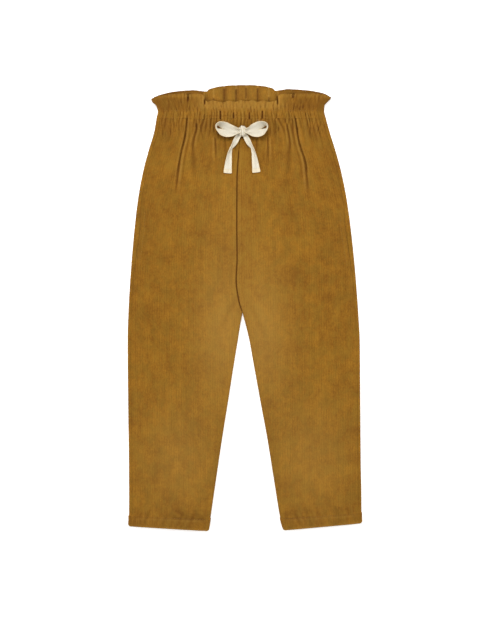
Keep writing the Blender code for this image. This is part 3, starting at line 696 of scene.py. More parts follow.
@dataclass(frozen=True)
class Pattern:
    """Outline, seams and folds of the garment as it lies."""

    wall: float = 1.4
    hem_wall: float = 2.0
    waist_wall: float = 1.8
    seam_gap: float = 0.3
    drawn_gap: float = 0.1      # what shows of that gap where the seam is drawn shut
    seam_y: float = 494.4
    crotch: tuple[float, float] = (-3.0, 261.6)
    hem_depth: float = 12.6
    hem_skew: float = 2.2       # how much deeper the hems are at the inseam
    hem_step: float = 0.7
    back_rise: float = 10.0
    back_seam_gap: float = 0.5
    crown: float = 1.0
    tip_y: float = 518.4
    tip_slope: float = 2.2      # how much higher the right tip lies than the left one
    corner: float = 3.0         # how much the hems' corners are rounded
    # Y, left fold, right fold, radius of the fold.
    sides: Table = (
        (0, -140.2, 141, 2.8), (16.8, -139.5, 140.1, 2.8), (37.2, -139.4, 140, 2.5),
        (85.2, -139.6, 139.2, 2.5), (157.2, -140.6, 138.6, 2.5), (229.2, -141.1, 138, 2.5),
        (261.6, -140.2, 136.2, 2.5), (301.2, -138, 133.4, 2.5), (349.2, -134.2, 128.8, 2.6),
        (397.2, -128.8, 122.5, 2.6), (433.2, -122.2, 115.3, 2.7), (457.2, -115.8, 108.7, 2.8),
        (481.2, -108.8, 101.2, 3), (494.4, -106.6, 97.6, 3.2), (502.8, -104.8, 95.2, 3.3),
        (508.8, -106.8, 95.6, 3.2), (514.2, -111.2, 99.6, 3), (518.4, -113, 102.8, 2.8),
        (520.6, -114, 103.7, 2.8),
    )
    # Y, left inseam, right inseam.
    inseams: Table = (
        (0, -43.7, 46.1), (13.2, -41.8, 42.8), (61.2, -34.8, 34.8), (109.2, -27.7, 27.1),
        (157.2, -20, 18.2), (205.2, -12.5, 9.5), (229.2, -8.5, 5.2), (252, -4.9, -0.3),
        (261.6, -3, -3),
    )
    # Lower edge of each hem: at the outer and at the inner corner.
    hem_left: tuple[float, float] = (6.0, 0.0)
    hem_right: tuple[float, float] = (9.6, 0.8)
    rise: Table = (
        (261.6, -3), (276, -7.4), (301, -10.6), (327, -9.5), (368, -9.8), (421, -9.5), (456, -7.4),
        (494.4, -4.4),
    )
    # Y, how far the side seam lies inside the fold, how far it stands open.
    side_seam: Table = (
        (0, 3.6, 0.08), (306, 3.6, 0.08), (320, 4.8, 0.1), (340, 6.2, 0.2), (362, 7, 0.2),
        (376, 6.2, 0.1), (390, 4.6, 0.08), (494.4, 4.4, 0.08),
    )

    @cached_property
    def fold_x(self) -> dict[Side, Curve]:
        """X of each side fold."""
        return {Side.LEFT: Curve.through(self.sides, 1), Side.RIGHT: Curve.through(self.sides, 2)}

    @cached_property
    def fold(self) -> Curve:
        """Radius of the side folds."""
        return Curve.through(self.sides, 3)

    @cached_property
    def inseam_x(self) -> dict[Side, Curve]:
        """X of each inseam."""
        return {Side.LEFT: Curve.through(self.inseams, 1),
                Side.RIGHT: Curve.through(self.inseams, 2)}

    @cached_property
    def rise_x(self) -> Curve:
        """X of the rise seam."""
        return Curve.through(self.rise)

    @cached_property
    def seam_inset(self) -> Curve:
        """How far inside the fold the side seam lies."""
        return Curve.through(self.side_seam, 1)

    @cached_property
    def seam_open(self) -> Curve:
        """How far the side seam stands open."""
        return Curve.through(self.side_seam, 2)

    def hem(self, side: Side) -> tuple[float, float]:
        """Y of a hem's outer and inner corners."""
        return self.hem_left if side is Side.LEFT else self.hem_right

    def row_ends(self, side: Side, top_step: float, leg_step: float) -> Pair:
        """Y of both ends of every row, from the waist seam to the hem.

        Args:
            side: which leg.
            top_step: spacing of the rows near the waist.
            leg_step: spacing of the rows further down.

        Returns:
            Y at the outer ends and at the inner ends.
        """
        crotch_y = self.crotch[1]
        fold = float(self.fold(crotch_y))
        near = np.arange(self.seam_y, 384, -top_step)
        seat = np.arange(384, crotch_y + fold + 0.4, -leg_step)
        roll = crotch_y + fold * (1 - np.cos(np.radians(np.linspace(90, 0, 9))))
        upper = np.concatenate([near, seat, roll])
        outer, inner = self.hem(side)
        depth = self.hem_depth / (crotch_y - outer)
        leg = np.arange(0.004, 1 - depth - 0.05, leg_step / crotch_y)
        close = np.arange(1 - depth - 0.05, 1, 0.8 / crotch_y)
        parts = np.concatenate([leg, close, [1]])
        y_outer = np.concatenate([upper, crotch_y + (outer - crotch_y) * parts])
        y_inner = np.concatenate([upper, crotch_y + (inner - crotch_y) * parts])
        return y_outer, y_inner

    def rows(self, side: Side, y_outer: Array, y_inner: Array, aside: float = 0.0) -> Rows:
        """Lay out rows across a panel.

        Args:
            side: which leg.
            y_outer: Y of the rows' outer ends.
            y_inner: Y of their inner ends.
            aside: how far the rise seam lies to the right of its line.

        Returns:
            The rows.
        """
        sign = side.sign
        hem_top = self.hem(side)[0] + self.hem_depth
        in_hem = ease((hem_top + 0.5 - y_outer) / 1.2)
        inner_hem = ease((hem_top + self.hem_skew + 0.5 - y_outer) / 1.2)
        x_outer = self.fold_x[side](y_outer) + sign * self.hem_step * in_hem
        above = np.maximum(y_inner - self.crotch[1], 0)
        below = np.maximum(self.crotch[1] - y_inner, 0)
        x_seat = self.rise_x(y_inner) + sign * self.drawn_gap / 2 + aside * ease(above / 12)
        x_leg = self.inseam_x[side](y_inner) - sign * self.hem_step * inner_hem
        x_leg = x_leg + sign * self.seam_gap / 2 * (1 - np.minimum(below / 4, 1))
        x_inner = np.where(y_inner >= self.crotch[1], x_seat, x_leg)
        return Rows(
            outer=np.stack([x_outer, y_outer], axis=-1),
            inner=np.stack([x_inner, y_inner], axis=-1),
            fold=self.fold(y_outer) + in_hem * self.hem_step / 2,
            wall=self.wall + (self.hem_wall - self.wall) * in_hem,
            above=above,
            hem=in_hem,
        )

    def layer(self, rows: Rows, distance: Array, layer: Layer, lift: Array | float) -> Pair:
        """Outer and inner faces of one layer of the cloth.

        The layer rolls over at the side fold, at the inner side of a leg and round the top of
        the crotch.

        Args:
            rows: the rows it lies on.
            distance: from the rows' outer ends.
            layer: upper or lower.
            lift: height added to both faces.

        Returns:
            Points of the outer and of the inner face.
        """
        place = rows.places(distance)
        fold = rows.fold[:, None]
        to_crotch = place - np.array(self.crotch)
        from_crotch = np.maximum(np.linalg.norm(to_crotch, axis=-1), 1e-6)
        seat = (rows.above > 0)[:, None]
        inner_distance = np.where(seat, from_crotch, rows.width - distance)
        inner_way = np.where(seat[..., None], to_crotch / from_crotch[..., None],
                             -rows.along + np.zeros_like(to_crotch))
        at_outer = distance < inner_distance
        reach = np.where(at_outer, distance, inner_distance)
        way = np.where(at_outer[..., None], rows.along, inner_way)
        turned = np.arccos(np.clip((fold - reach) / fold, 0, 1))
        angle = np.where(reach < fold, turned, math.pi / 2)
        turn = layer.value
        middle = fold + (self.seam_gap if layer is Layer.UPPER else 0.0)
        height = middle + turn * fold * np.sin(angle) + lift
        outer = np.concatenate([place, height[..., None]], axis=-1)
        inward = np.concatenate([way * np.cos(angle)[..., None],
                                 (-turn * np.sin(angle))[..., None]], axis=-1)
        return outer, outer + inward * rows.wall[:, None, None]

    def crown_height(self, rows: Rows, distance: Array) -> Array:
        """Raise the upper layer over the lower one between the folds.

        Args:
            rows: the rows they lie on.
            distance: from the rows' outer ends.

        Returns:
            Heights.
        """
        leg = distance / rows.width
        body = 0.5 * leg
        share = ease(rows.above / 70)[:, None]
        place = leg + (body - leg) * share
        return self.crown * (1 - np.abs(2 * place - 1) ** 3)

    def ramp(self, rows: Rows, distance: Array) -> Array:
        """Fade relief out towards the rolled edges.

        Args:
            rows: the rows they lie on.
            distance: from the rows' outer ends.

        Returns:
            From 0 at the edges to 1.
        """
        fold = rows.fold[:, None]
        inner = np.maximum(rows.width - distance, rows.above[:, None])
        return ease((distance - fold) / 9) * ease((inner - fold) / 9)

    def back_lift(self, across: Array) -> Array:
        """How much higher the back's waist seam is, from -1 at one side to 1 at the other."""
        return self.back_rise * ease((1 - np.abs(across)) / 0.9)

    def centre_part(self) -> tuple[float, float]:
        """Measure the waist in parts of its width.

        Returns:
            Where the rise seam lies from the left, and how far in the side seams lie.
        """
        left, right = (float(self.fold_x[side](self.seam_y)) for side in Side)
        centre = (float(self.rise_x(self.seam_y)) - left) / (right - left)
        return centre, float(self.seam_inset(self.seam_y)) / (right - left)


PATTERN = Pattern()


# -- Gathers, folds and the cloth's grain --

@dataclass(frozen=True)
class Gathers:
    """The gathers that the elastic draws in across one half of the garment."""

    seed: float
    count: int = 24
    height: float = 1.1
    reach: float = 26.0

    @cached_property
    def valleys(self) -> Array:
        """Where the valleys lie, from 0 at the side seam to 1 at the centre."""
        n = np.arange(1, self.count)
        return np.concatenate([[0], (n + 0.7 * (uneven(n, self.seed) - 0.5)) / self.count, [1]])

    def lobes(self, place: Array) -> Pair:
        """Find the gather that each place lies in.

        Args:
            place: from 0 at the side seam to 1 at the centre.

        Returns:
            Its number, and the height of its round section at the place.
        """
        n, s = find_span(self.valleys, place)
        size = self.height * (0.45 + 0.55 * uneven(n, self.seed + 2))
        return n, size * np.sin(math.pi * np.clip(s, 0, 1)) ** 0.85

    def height_at(self, place: Array, below: Array) -> Array:
        """Height of the gathers below the casing.

        Args:
            place: from 0 at the side seam to 1 at the centre.
            below: distance below the casing.

        Returns:
            Heights over the cloth.
        """
        stray = 0.006 * ripple(place * 9, below / 11, self.seed + 3) * ease(below / 6)
        n, height = self.lobes(place + stray)
        reach = self.reach * (0.45 + 1.35 * uneven(n, self.seed + 5) ** 2)
        return height * (1 - ease(below / reach))


FRONT_GATHERS = {Side.LEFT: Gathers(1), Side.RIGHT: Gathers(4)}
BACK_GATHERS = {Side.LEFT: Gathers(7, height=0.8), Side.RIGHT: Gathers(9, height=0.8)}


@dataclass(frozen=True)
class Puckers:
    """Short sharp creases, scattered where the elastic's stitching draws the cloth in."""

    count: int = 110
    left: float = -105.0
    right: float = 96.5
    low: float = 478.0
    high: float = 510.0
    width: float = 0.7

    def height_at(self, x: Array, y: Array) -> Array:
        """Depth of the creases.

        Args:
            x: X of points in plan.
            y: Y of the points.

        Returns:
            Heights, 0 or less.
        """
        n = np.arange(self.count)
        at = self.left + (self.right - self.left) * (n + 0.9 * uneven(n, 2)) / self.count
        middle = self.low + (self.high - self.low) * uneven(n * 1.7, 6)
        half = 1.8 + 4.4 * uneven(n, 9) ** 1.5
        depth = 0.2 + 0.5 * uneven(n * 1.3, 4) ** 2
        lean = 0.34 * (uneven(n, 8) - 0.5) + at * 0.0016
        height = np.zeros(np.broadcast(x, y).shape)
        for place, level, reach, size, slant in zip(at, middle, half, depth, lean):
            across = x - place - slant * (y - level)
            height -= size * bell(across, self.width) * bell(y - level, reach)
        return height


PUCKERS = Puckers()


def crinkle(x: Array, y: Array) -> Array:
    """Fine crinkles of the gathered cloth, which run on from the panels into the casing."""
    return 0.17 * ripple(x / 1.5, y / 7, 3) + 0.24 * ripple(x / 3.1, y / 10, 5)


def wander(*faces: Array) -> None:
    """Let the waist seam wander up and down a little, as the elastic draws it.

    Args:
        faces: grids of points, which are moved.
    """
    for face in faces:
        x, y = face[..., 0], face[..., 1]
        face[..., 1] = y + 0.75 * ripple(x / 5.5, 0 * x, 51) * bell(y - 494.5, 4)


@dataclass(frozen=True)
class Crease:
    """A soft fold: a trough along a line, with a round ridge on one side or on both.

    Attributes:
        line: Y and X of the points that it runs through.
        depth: its greatest depth.
        width: half its width at the top.
        lean: -1 or 1 for the side that the ridge lies on, or 0 for both.
        spread: how much wider it is at its end.
        head: part of its length over which it deepens.
        tail: part of its length over which it fades.
    """

    line: Table
    depth: float
    width: float
    lean: float = 0.0
    spread: float = 1.0
    head: float = 0.08
    tail: float = 0.55

    def height_at(self, x: Array, y: Array) -> Array:
        """Height of the fold.

        Args:
            x: X of points in plan.
            y: Y of the points.

        Returns:
            Heights, below 0 in the trough.
        """
        low = min(row[0] for row in self.line)
        high = max(row[0] for row in self.line)
        s = np.clip((high - y) / (high - low), 0, 1)
        window = ease(s / self.head) * (1 - ease((s - 1 + self.tail) / self.tail))
        width = self.width * (1 + self.spread * s)
        across = (x - Curve.through(self.line)(y)) / width
        trough = -bell(across, 1)
        if self.lean:
            ridge = 0.55 * bell(across - self.lean * 2.3, 1.3)
            ridge -= 0.2 * bell(across + self.lean * 2.6, 1.6)
        else:
            ridge = 0.35 * (bell(across - 2.1, 1.1) + bell(across + 2.1, 1.1))
        return self.depth * window * (trough + ridge)


@dataclass(frozen=True)
class Grain:
    """How the wales run: straight down the legs, drawn together by the gathers above."""

    straight_y: float = 320.0
    gathered_y: float = 470.0
    flat_y: float = 340.0

    def on_panel(self, side: Side, x: Array, y: Array, place: Array) -> Array:
        """Lay the wales on a leg panel.

        Args:
            side: which leg.
            x: X of the points.
            y: Y of the points.
            place: from 0 at the side seam to 1 at the centre.

        Returns:
            Millimetres across and along the wales.
        """
        flat_outer = float(PATTERN.fold_x[side](self.flat_y))
        flat_inner = float(PATTERN.rise_x(self.flat_y))
        drawn = flat_outer + (flat_inner - flat_outer) * place
        share = ease((y - self.straight_y) / (self.gathered_y - self.straight_y))
        return np.stack([x + (drawn - x) * share, y], axis=-1)


GRAIN = Grain()


# -- Thread --

def dress(piece: Piece) -> Piece:
    """Let a piece ride on the garment's body, and report it.

    Args:
        piece: any piece of the garment.

    Returns:
        The same piece.
    """
    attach(piece, "root")
    LOG.info("%s: %d faces", piece.name, len(piece.data.polygons))
    return piece


def hang(sheet: Cloth, name: str, cloth: Corduroy, node: str) -> Piece:
    """Make one cut piece of corduroy.

    Args:
        sheet: its form.
        name: the piece's name.
        cloth: its finish.
        node: the CAD node that it stands for.

    Returns:
        The dressed piece.
    """
    piece = dress(sheet.build(name, cloth.material("cut_pile_corduroy_" + node)))
    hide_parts(node)
    return piece


@dataclass
class ThreadRun:
    """Short stitches that lie along lines on the cloth, joined in one mesh."""

    stitch: float = 2.3
    gap: float = 0.8
    radius: float = 0.24
    sink: float = 0.1
    up: float = 1.0             # -1 on the underside
    sides: int = 6
    # Part of a stitch's length, height in radii, and width: its ends dive into the cloth.
    sections: Table = ((0, -0.9, 0.35), (0.12, 0, 0.9), (0.35, 0.45, 1),
                       (0.65, 0.45, 1), (0.88, 0, 0.9), (1, -0.9, 0.35))
    points: list = field(default_factory=list)
    faces: list = field(default_factory=list)
    grain: list = field(default_factory=list)

    def along(self, line: Array) -> None:
        """Sew along a line.

        Args:
            line: the points that it follows, close together.
        """
        gone = travelled(line)
        for start in np.arange(0.4, gone[-1] - self.stitch, self.stitch + self.gap):
            self.add_stitch(*(np.array([np.interp(at, gone, line[:, axis]) for axis in range(3)])
                              for at in (start, start + self.stitch)))

    def add_stitch(self, begin: Array, end: Array) -> None:
        """Add one stitch.

        Args:
            begin: where it comes out of the cloth.
            end: where it goes back in.
        """
        way = (end - begin) / max(float(np.linalg.norm(end - begin)), 1e-6)
        lift = np.array([0, 0, self.up])
        lift = lift - way * float(lift @ way)
        lift = lift / max(float(np.linalg.norm(lift)), 1e-6)
        side = np.cross(way, lift)
        start = len(self.points)
        for part, high, size in self.sections:
            centre = begin + (end - begin) * part + lift * (high * self.radius - self.sink)
            for n in range(self.sides):
                angle = 2 * math.pi * n / self.sides
                round_way = side * math.cos(angle) + lift * math.sin(angle)
                self.points.append(centre + round_way * self.radius * size)
                self.grain.append((n * 0.25, part * self.stitch))
        for ring in range(start, len(self.points) - self.sides, self.sides):
            for n in range(self.sides):
                a, b = ring + n, ring + (n + 1) % self.sides
                self.faces.append([a, b, b + self.sides, a + self.sides])
        self.faces.append(list(range(start + self.sides - 1, start - 1, -1)))
        self.faces.append(list(range(len(self.points) - self.sides, len(self.points))))

    def finish(self, name: str, material: Material) -> Piece:
        """Make the mesh of all the stitches, clear of the surface that the garment lies on.

        Args:
            name: the piece's name.
            material: the thread.

        Returns:
            The dressed piece.
        """
        layers = {"grain": np.array(self.grain) / 100}
        piece = outward(make_piece(name, np.array(self.points), self.faces, layers, material))
        if self.up < 0:
            lowest = min(v.co.z for v in piece.data.vertices)
            piece.data.transform(Matrix.Translation((0, 0, max(0.00002 - lowest, 0))))
        return dress(piece)


# -- Leg panels --

def worn_and_lit_pile(x: Array, y: Array) -> Array:
    """Paler pile inside the thighs, down the shins and in front: partly wear, partly painted
    highlight towards the garment's middle.

    Args:
        x: X of the points.
        y: Y of the points.

    Returns:
        How much paler each point is painted.
    """
    thigh = 0.3 * bell(y - 235, 80) * bell(np.abs(x + 3) - 22, 36)
    shin = 0.2 * bell(y - 85, 70) * bell(np.abs(x) - 78, 50)
    centre = 0.07 * bell(y - 360, 90) * bell(x + 14, 40)
    return thigh + shin + centre


@dataclass
class LegPanel:
    """What the front and the back of a leg share."""

    side: Side
    cloth: Corduroy
    thread: SewingThread
    creases: tuple[Crease, ...] = ()
    hem_stitch: float = 1.3     # how far below the hem's upper edge it is sewn
    roll_columns: int = 8

    def sewn(self, run: ThreadRun, layer: str) -> Piece:
        """Finish the panel's stitches."""
        return run.finish(f"{layer}_sewing_{self.side.value}",
                          self.thread.material(f"spun_thread_{layer}_{self.side.value}"))

    def panel(self, sheet: Cloth, layer: str) -> Piece:
        """Finish the panel."""
        name = self.side.value
        return hang(sheet, f"{layer}_panel_{name}", self.cloth, f"{layer}_{name}")


@dataclass
class FrontPanel(LegPanel):
    """The front of one leg, with its hem, pocket mouth and the gathers below the casing."""

    plain_columns: int = 128
    seam_groove: float = 0.8
    pocket: tuple[float, float] = (316.0, 384.0)
    pocket_lift: float = 0.35
    topstitch: float = 5.2      # how far the topstitching lies from the pocket's edge
    drift: float = 0.3
    painted_shade_patches: Table = ()         # X, Y, half sizes and strength of patches of painted shade

    def distances(self, rows: Rows) -> Array:
        """Place the columns.

        Args:
            rows: the rows that they cross.

        Returns:
            Distances of the columns from the rows' outer ends.
        """
        even = np.linspace(0, 1, self.plain_columns)
        places = even - 0.035 * np.sin(2 * math.pi * even)
        angles = np.radians(np.linspace(90, 0, self.roll_columns + 1))[1:]
        seam = PATTERN.seam_inset(rows.level)
        fold = rows.fold[:, None]
        flat = seam + (rows.width - fold - seam) * places
        rolled = rows.width - fold * (1 - np.cos(angles))
        return np.concatenate([flat, rolled], axis=1)

    def relief(self, rows: Rows, distance: Array) -> Pair:
        """Folds, gathers and seams.

        Args:
            rows: the rows they lie on.
            distance: from the rows' outer ends.

        Returns:
            Heights for the outer face, and places from 0 at the side seam to 1 at the centre.
        """
        plan = rows.places(distance)
        x, y = plan[..., 0], plan[..., 1]
        ramp = PATTERN.ramp(rows, distance)
        from_seam = distance - PATTERN.seam_inset(rows.level)
        place = from_seam / (rows.width - PATTERN.seam_inset(rows.level))
        below = PATTERN.seam_y - y
        sign = self.side.sign
        lift = PATTERN.crown_height(rows, distance) * ramp
        seed = 14 + 3 * sign
        soft = ripple(x / 26, y / 75, seed) + 0.45 * ripple(x / 9, y / 38, seed + 1)
        lift += self.drift * soft * ramp * ease(below / 20)
        for crease in self.creases:
            lift += crease.height_at(x, y)
        lift += FRONT_GATHERS[self.side].height_at(place, below)
        lift += crinkle(x, y) * (1 - ease(below / 34)) + PUCKERS.height_at(x, y)
        from_rise = rows.width - distance
        groove = -self.seam_groove * bell(from_rise, 0.9) + 0.22 * bell(from_rise - 3.4, 2)
        lift += groove * (rows.seat * self._seam_shows(y))
        mouth = self._mouth(rows.level)
        side_groove = -0.2 * bell(from_seam, 1.1) * (1 - mouth)
        edge = self.pocket_lift * (1 - ease((from_seam - self.topstitch) / 1.6)) * mouth
        sewn = -0.12 * bell(from_seam - self.topstitch, 0.8) * mouth
        lift += side_groove + edge + sewn
        over = self.over_hem(y, distance / rows.width)
        sewn_hem = -0.32 * bell(over + self.hem_stitch, 0.75)
        pucker = ripple(x / 4.6 + sign * y / 11, y / 14, seed + 6)
        pucker = 0.55 * pucker * bell(np.maximum(over, -3), 10) * (over > -12)
        lift += (sewn_hem + pucker) * ramp
        return lift, place

    def over_hem(self, y: Array, part: Array) -> Array:
        """Height over the hem's upper edge at parts of the leg's width."""
        outer, inner = PATTERN.hem(self.side)
        return y - outer - (inner - outer + PATTERN.hem_skew) * part - PATTERN.hem_depth

    @staticmethod
    def _seam_shows(y: Array) -> Array:
        """How open the rise seam lies: the gathers above draw it shut."""
        return 0.25 + 0.75 * ease((460 - y) / 8)

    def _mouth(self, y: Array) -> Array:
        """1 along the pocket mouth and 0 past its ends."""
        low, high = self.pocket
        return ease((y - low) / 8) * ease((high - y) / 8)

    def surface(self, y_outer: Array, y_inner: Array, distance: Array | None = None
                ) -> tuple[Array, Array, Rows, Array]:
        """Lay out the panel or part of it.

        Args:
            y_outer: Y of the rows' outer ends.
            y_inner: Y of their inner ends.
            distance: how far from the rows' outer ends the points lie; left out, all columns.

        Returns:
            Points of the outer and of the inner face, the rows, and the places from 0 at the
            side seam to 1 at the centre.
        """
        rows = PATTERN.rows(self.side, y_outer, y_inner)
        distance = self.distances(rows) if distance is None else distance
        lift, place = self.relief(rows, distance)
        outer, inner = PATTERN.layer(rows, distance, Layer.UPPER, lift)
        wander(outer, inner)
        return outer, inner, rows, place

    def wear_and_painted_light(self, rows: Rows, points: Array, place: Array) -> Array:
        """Wear on the edges, painted highlight on ridges and painted shade in hollows, seams and
        folds.

        Args:
            rows: the rows they lie on.
            points: the points of the outer face.
            place: from 0 at the side seam to 1 at the centre.

        Returns:
            How much wear and painted highlight, and how much painted shade, each point has.
        """
        x, y = points[..., 0], rows.level + 0 * place
        distance = self.distances(rows)
        hem_low = PATTERN.hem(self.side)[0]
        ramp = PATTERN.ramp(rows, distance)
        hollow = hollowness(points[..., 2], 3, 0.45) * ramp
        # Real wear along the hem's edge; painted highlight on the ridges.
        wear_and_highlight = 0.3 * bell(y - hem_low, 1.2) + 0.22 * np.maximum(-hollow, 0)
        wear_and_highlight += 0.12 * bell(place, 0.008) * self._mouth(y)
        wear_and_highlight += worn_and_lit_pile(x, points[..., 1])
        # Painted shade: darker over the hem and in the hollows.
        shade = 0.12 * rows.hem[:, None] + 0.7 * np.maximum(hollow, 0)
        # Painted shade towards the outer sides of the hips and thighs.
        shade += 0.14 * bell(y - 380, 120) * ease((np.abs(x) - 60) / 55)
        # Painted shade over the gathered top of the panel.
        drawn = 0.175 - 0.025 * self.side.sign
        below = PATTERN.seam_y - y
        shade += drawn * (1 - ease(below / 45)) * (0.4 + 0.6 * ease(below / 9))
        over = self.over_hem(points[..., 1], distance / rows.width)
        # Painted shade along the hem's stitching and in the puckers above it, and a paler line in
        # the hem below it.
        patchy_hem_shade = 0.5 + 0.5 * ripple(x / 11, y / 30, 33)
        shade += (0.05 + 0.36 * patchy_hem_shade) * bell(over + self.hem_stitch, 1) * ramp
        wear_and_highlight += 0.12 * bell(over + 3.4, 1.1) * ramp
        patchy_hem_shade *= 0.7 + 0.6 * ripple(x / 7 + y / 5, y / 3, 37)
        shade += 0.62 * np.maximum(patchy_hem_shade, 0) * bell(over - 4, 6) * ramp
        # Painted shade along the rise seam and the side seam.
        rise = rows.seat * self._seam_shows(y)
        shade += 0.9 * bell((1 - place) * rows.width, 0.8) * rise
        shade += 0.2 * bell(place * rows.width, 1) * (y > hem_low + 14)
        # Painted shade in patches: soft folds, and shadows under the tape bow.
        for x_mid, y_mid, half_x, half_y, strength in self.painted_shade_patches:
            shade += strength * (bell(x - x_mid, half_x) * bell(points[..., 1] - y_mid, half_y))
        return marks(wear_and_highlight, shade)

    def build(self) -> list[Piece]:
        """Make the panel and its sewing.

        Returns:
            The panel and its stitches.
        """
        outer, inner, rows, place = self.surface(*PATTERN.row_ends(self.side, 1.5, 2.6))
        grain = GRAIN.on_panel(self.side, outer[..., 0], outer[..., 1], place)
        round_corners(outer, inner, rows, self.distances(rows))
        sheet = Cloth(outer, inner, grain, self.wear_and_painted_light(rows, outer, place), 0.05, 0.5)
        return [self.panel(sheet, "front"), self._sewing()]

    def _sewing(self) -> Piece:
        """Sew the hem and topstitch the pocket mouth.

        Returns:
            The stitches.
        """
        run = ThreadRun(sink=0.22)
        outer_y, inner_y = PATTERN.hem(self.side)
        step = PATTERN.hem_depth - self.hem_stitch
        hem = self.surface(np.array([outer_y + step]),
                           np.array([inner_y + step + PATTERN.hem_skew]))[0]
        run.along(hem[0, 2:-5])
        y = np.arange(self.pocket[1] - 1, self.pocket[0] + 1, -0.8)
        distance = (PATTERN.seam_inset(y) + self.topstitch)[:, None]
        run.along(self.surface(y, y, distance)[0][:, 0])
        return self.sewn(run, "front")


def round_corners(outer: Array, inner: Array, rows: Rows, distance: Array) -> None:
    """Round the hem's corners by lifting the lowest rows at both sides.

    Args:
        outer: the points of the outer face, which are moved.
        inner: the points of the inner face, which are moved.
        rows: the rows that they lie on.
        distance: from the rows' outer ends.
    """
    size = PATTERN.corner
    to_edge = np.minimum(distance, rows.width - distance)
    short = np.clip(size - to_edge, 0, size)
    rise = size - np.sqrt(np.maximum(size * size - short * short, 0))
    low = rows.outer[-1, 1]
    near = np.clip(1 - (rows.outer[:, 1] - low) / PATTERN.hem_depth, 0, 1) ** 2
    for face in (outer, inner):
        face[..., 1] += rise * near[:, None] * 0.8


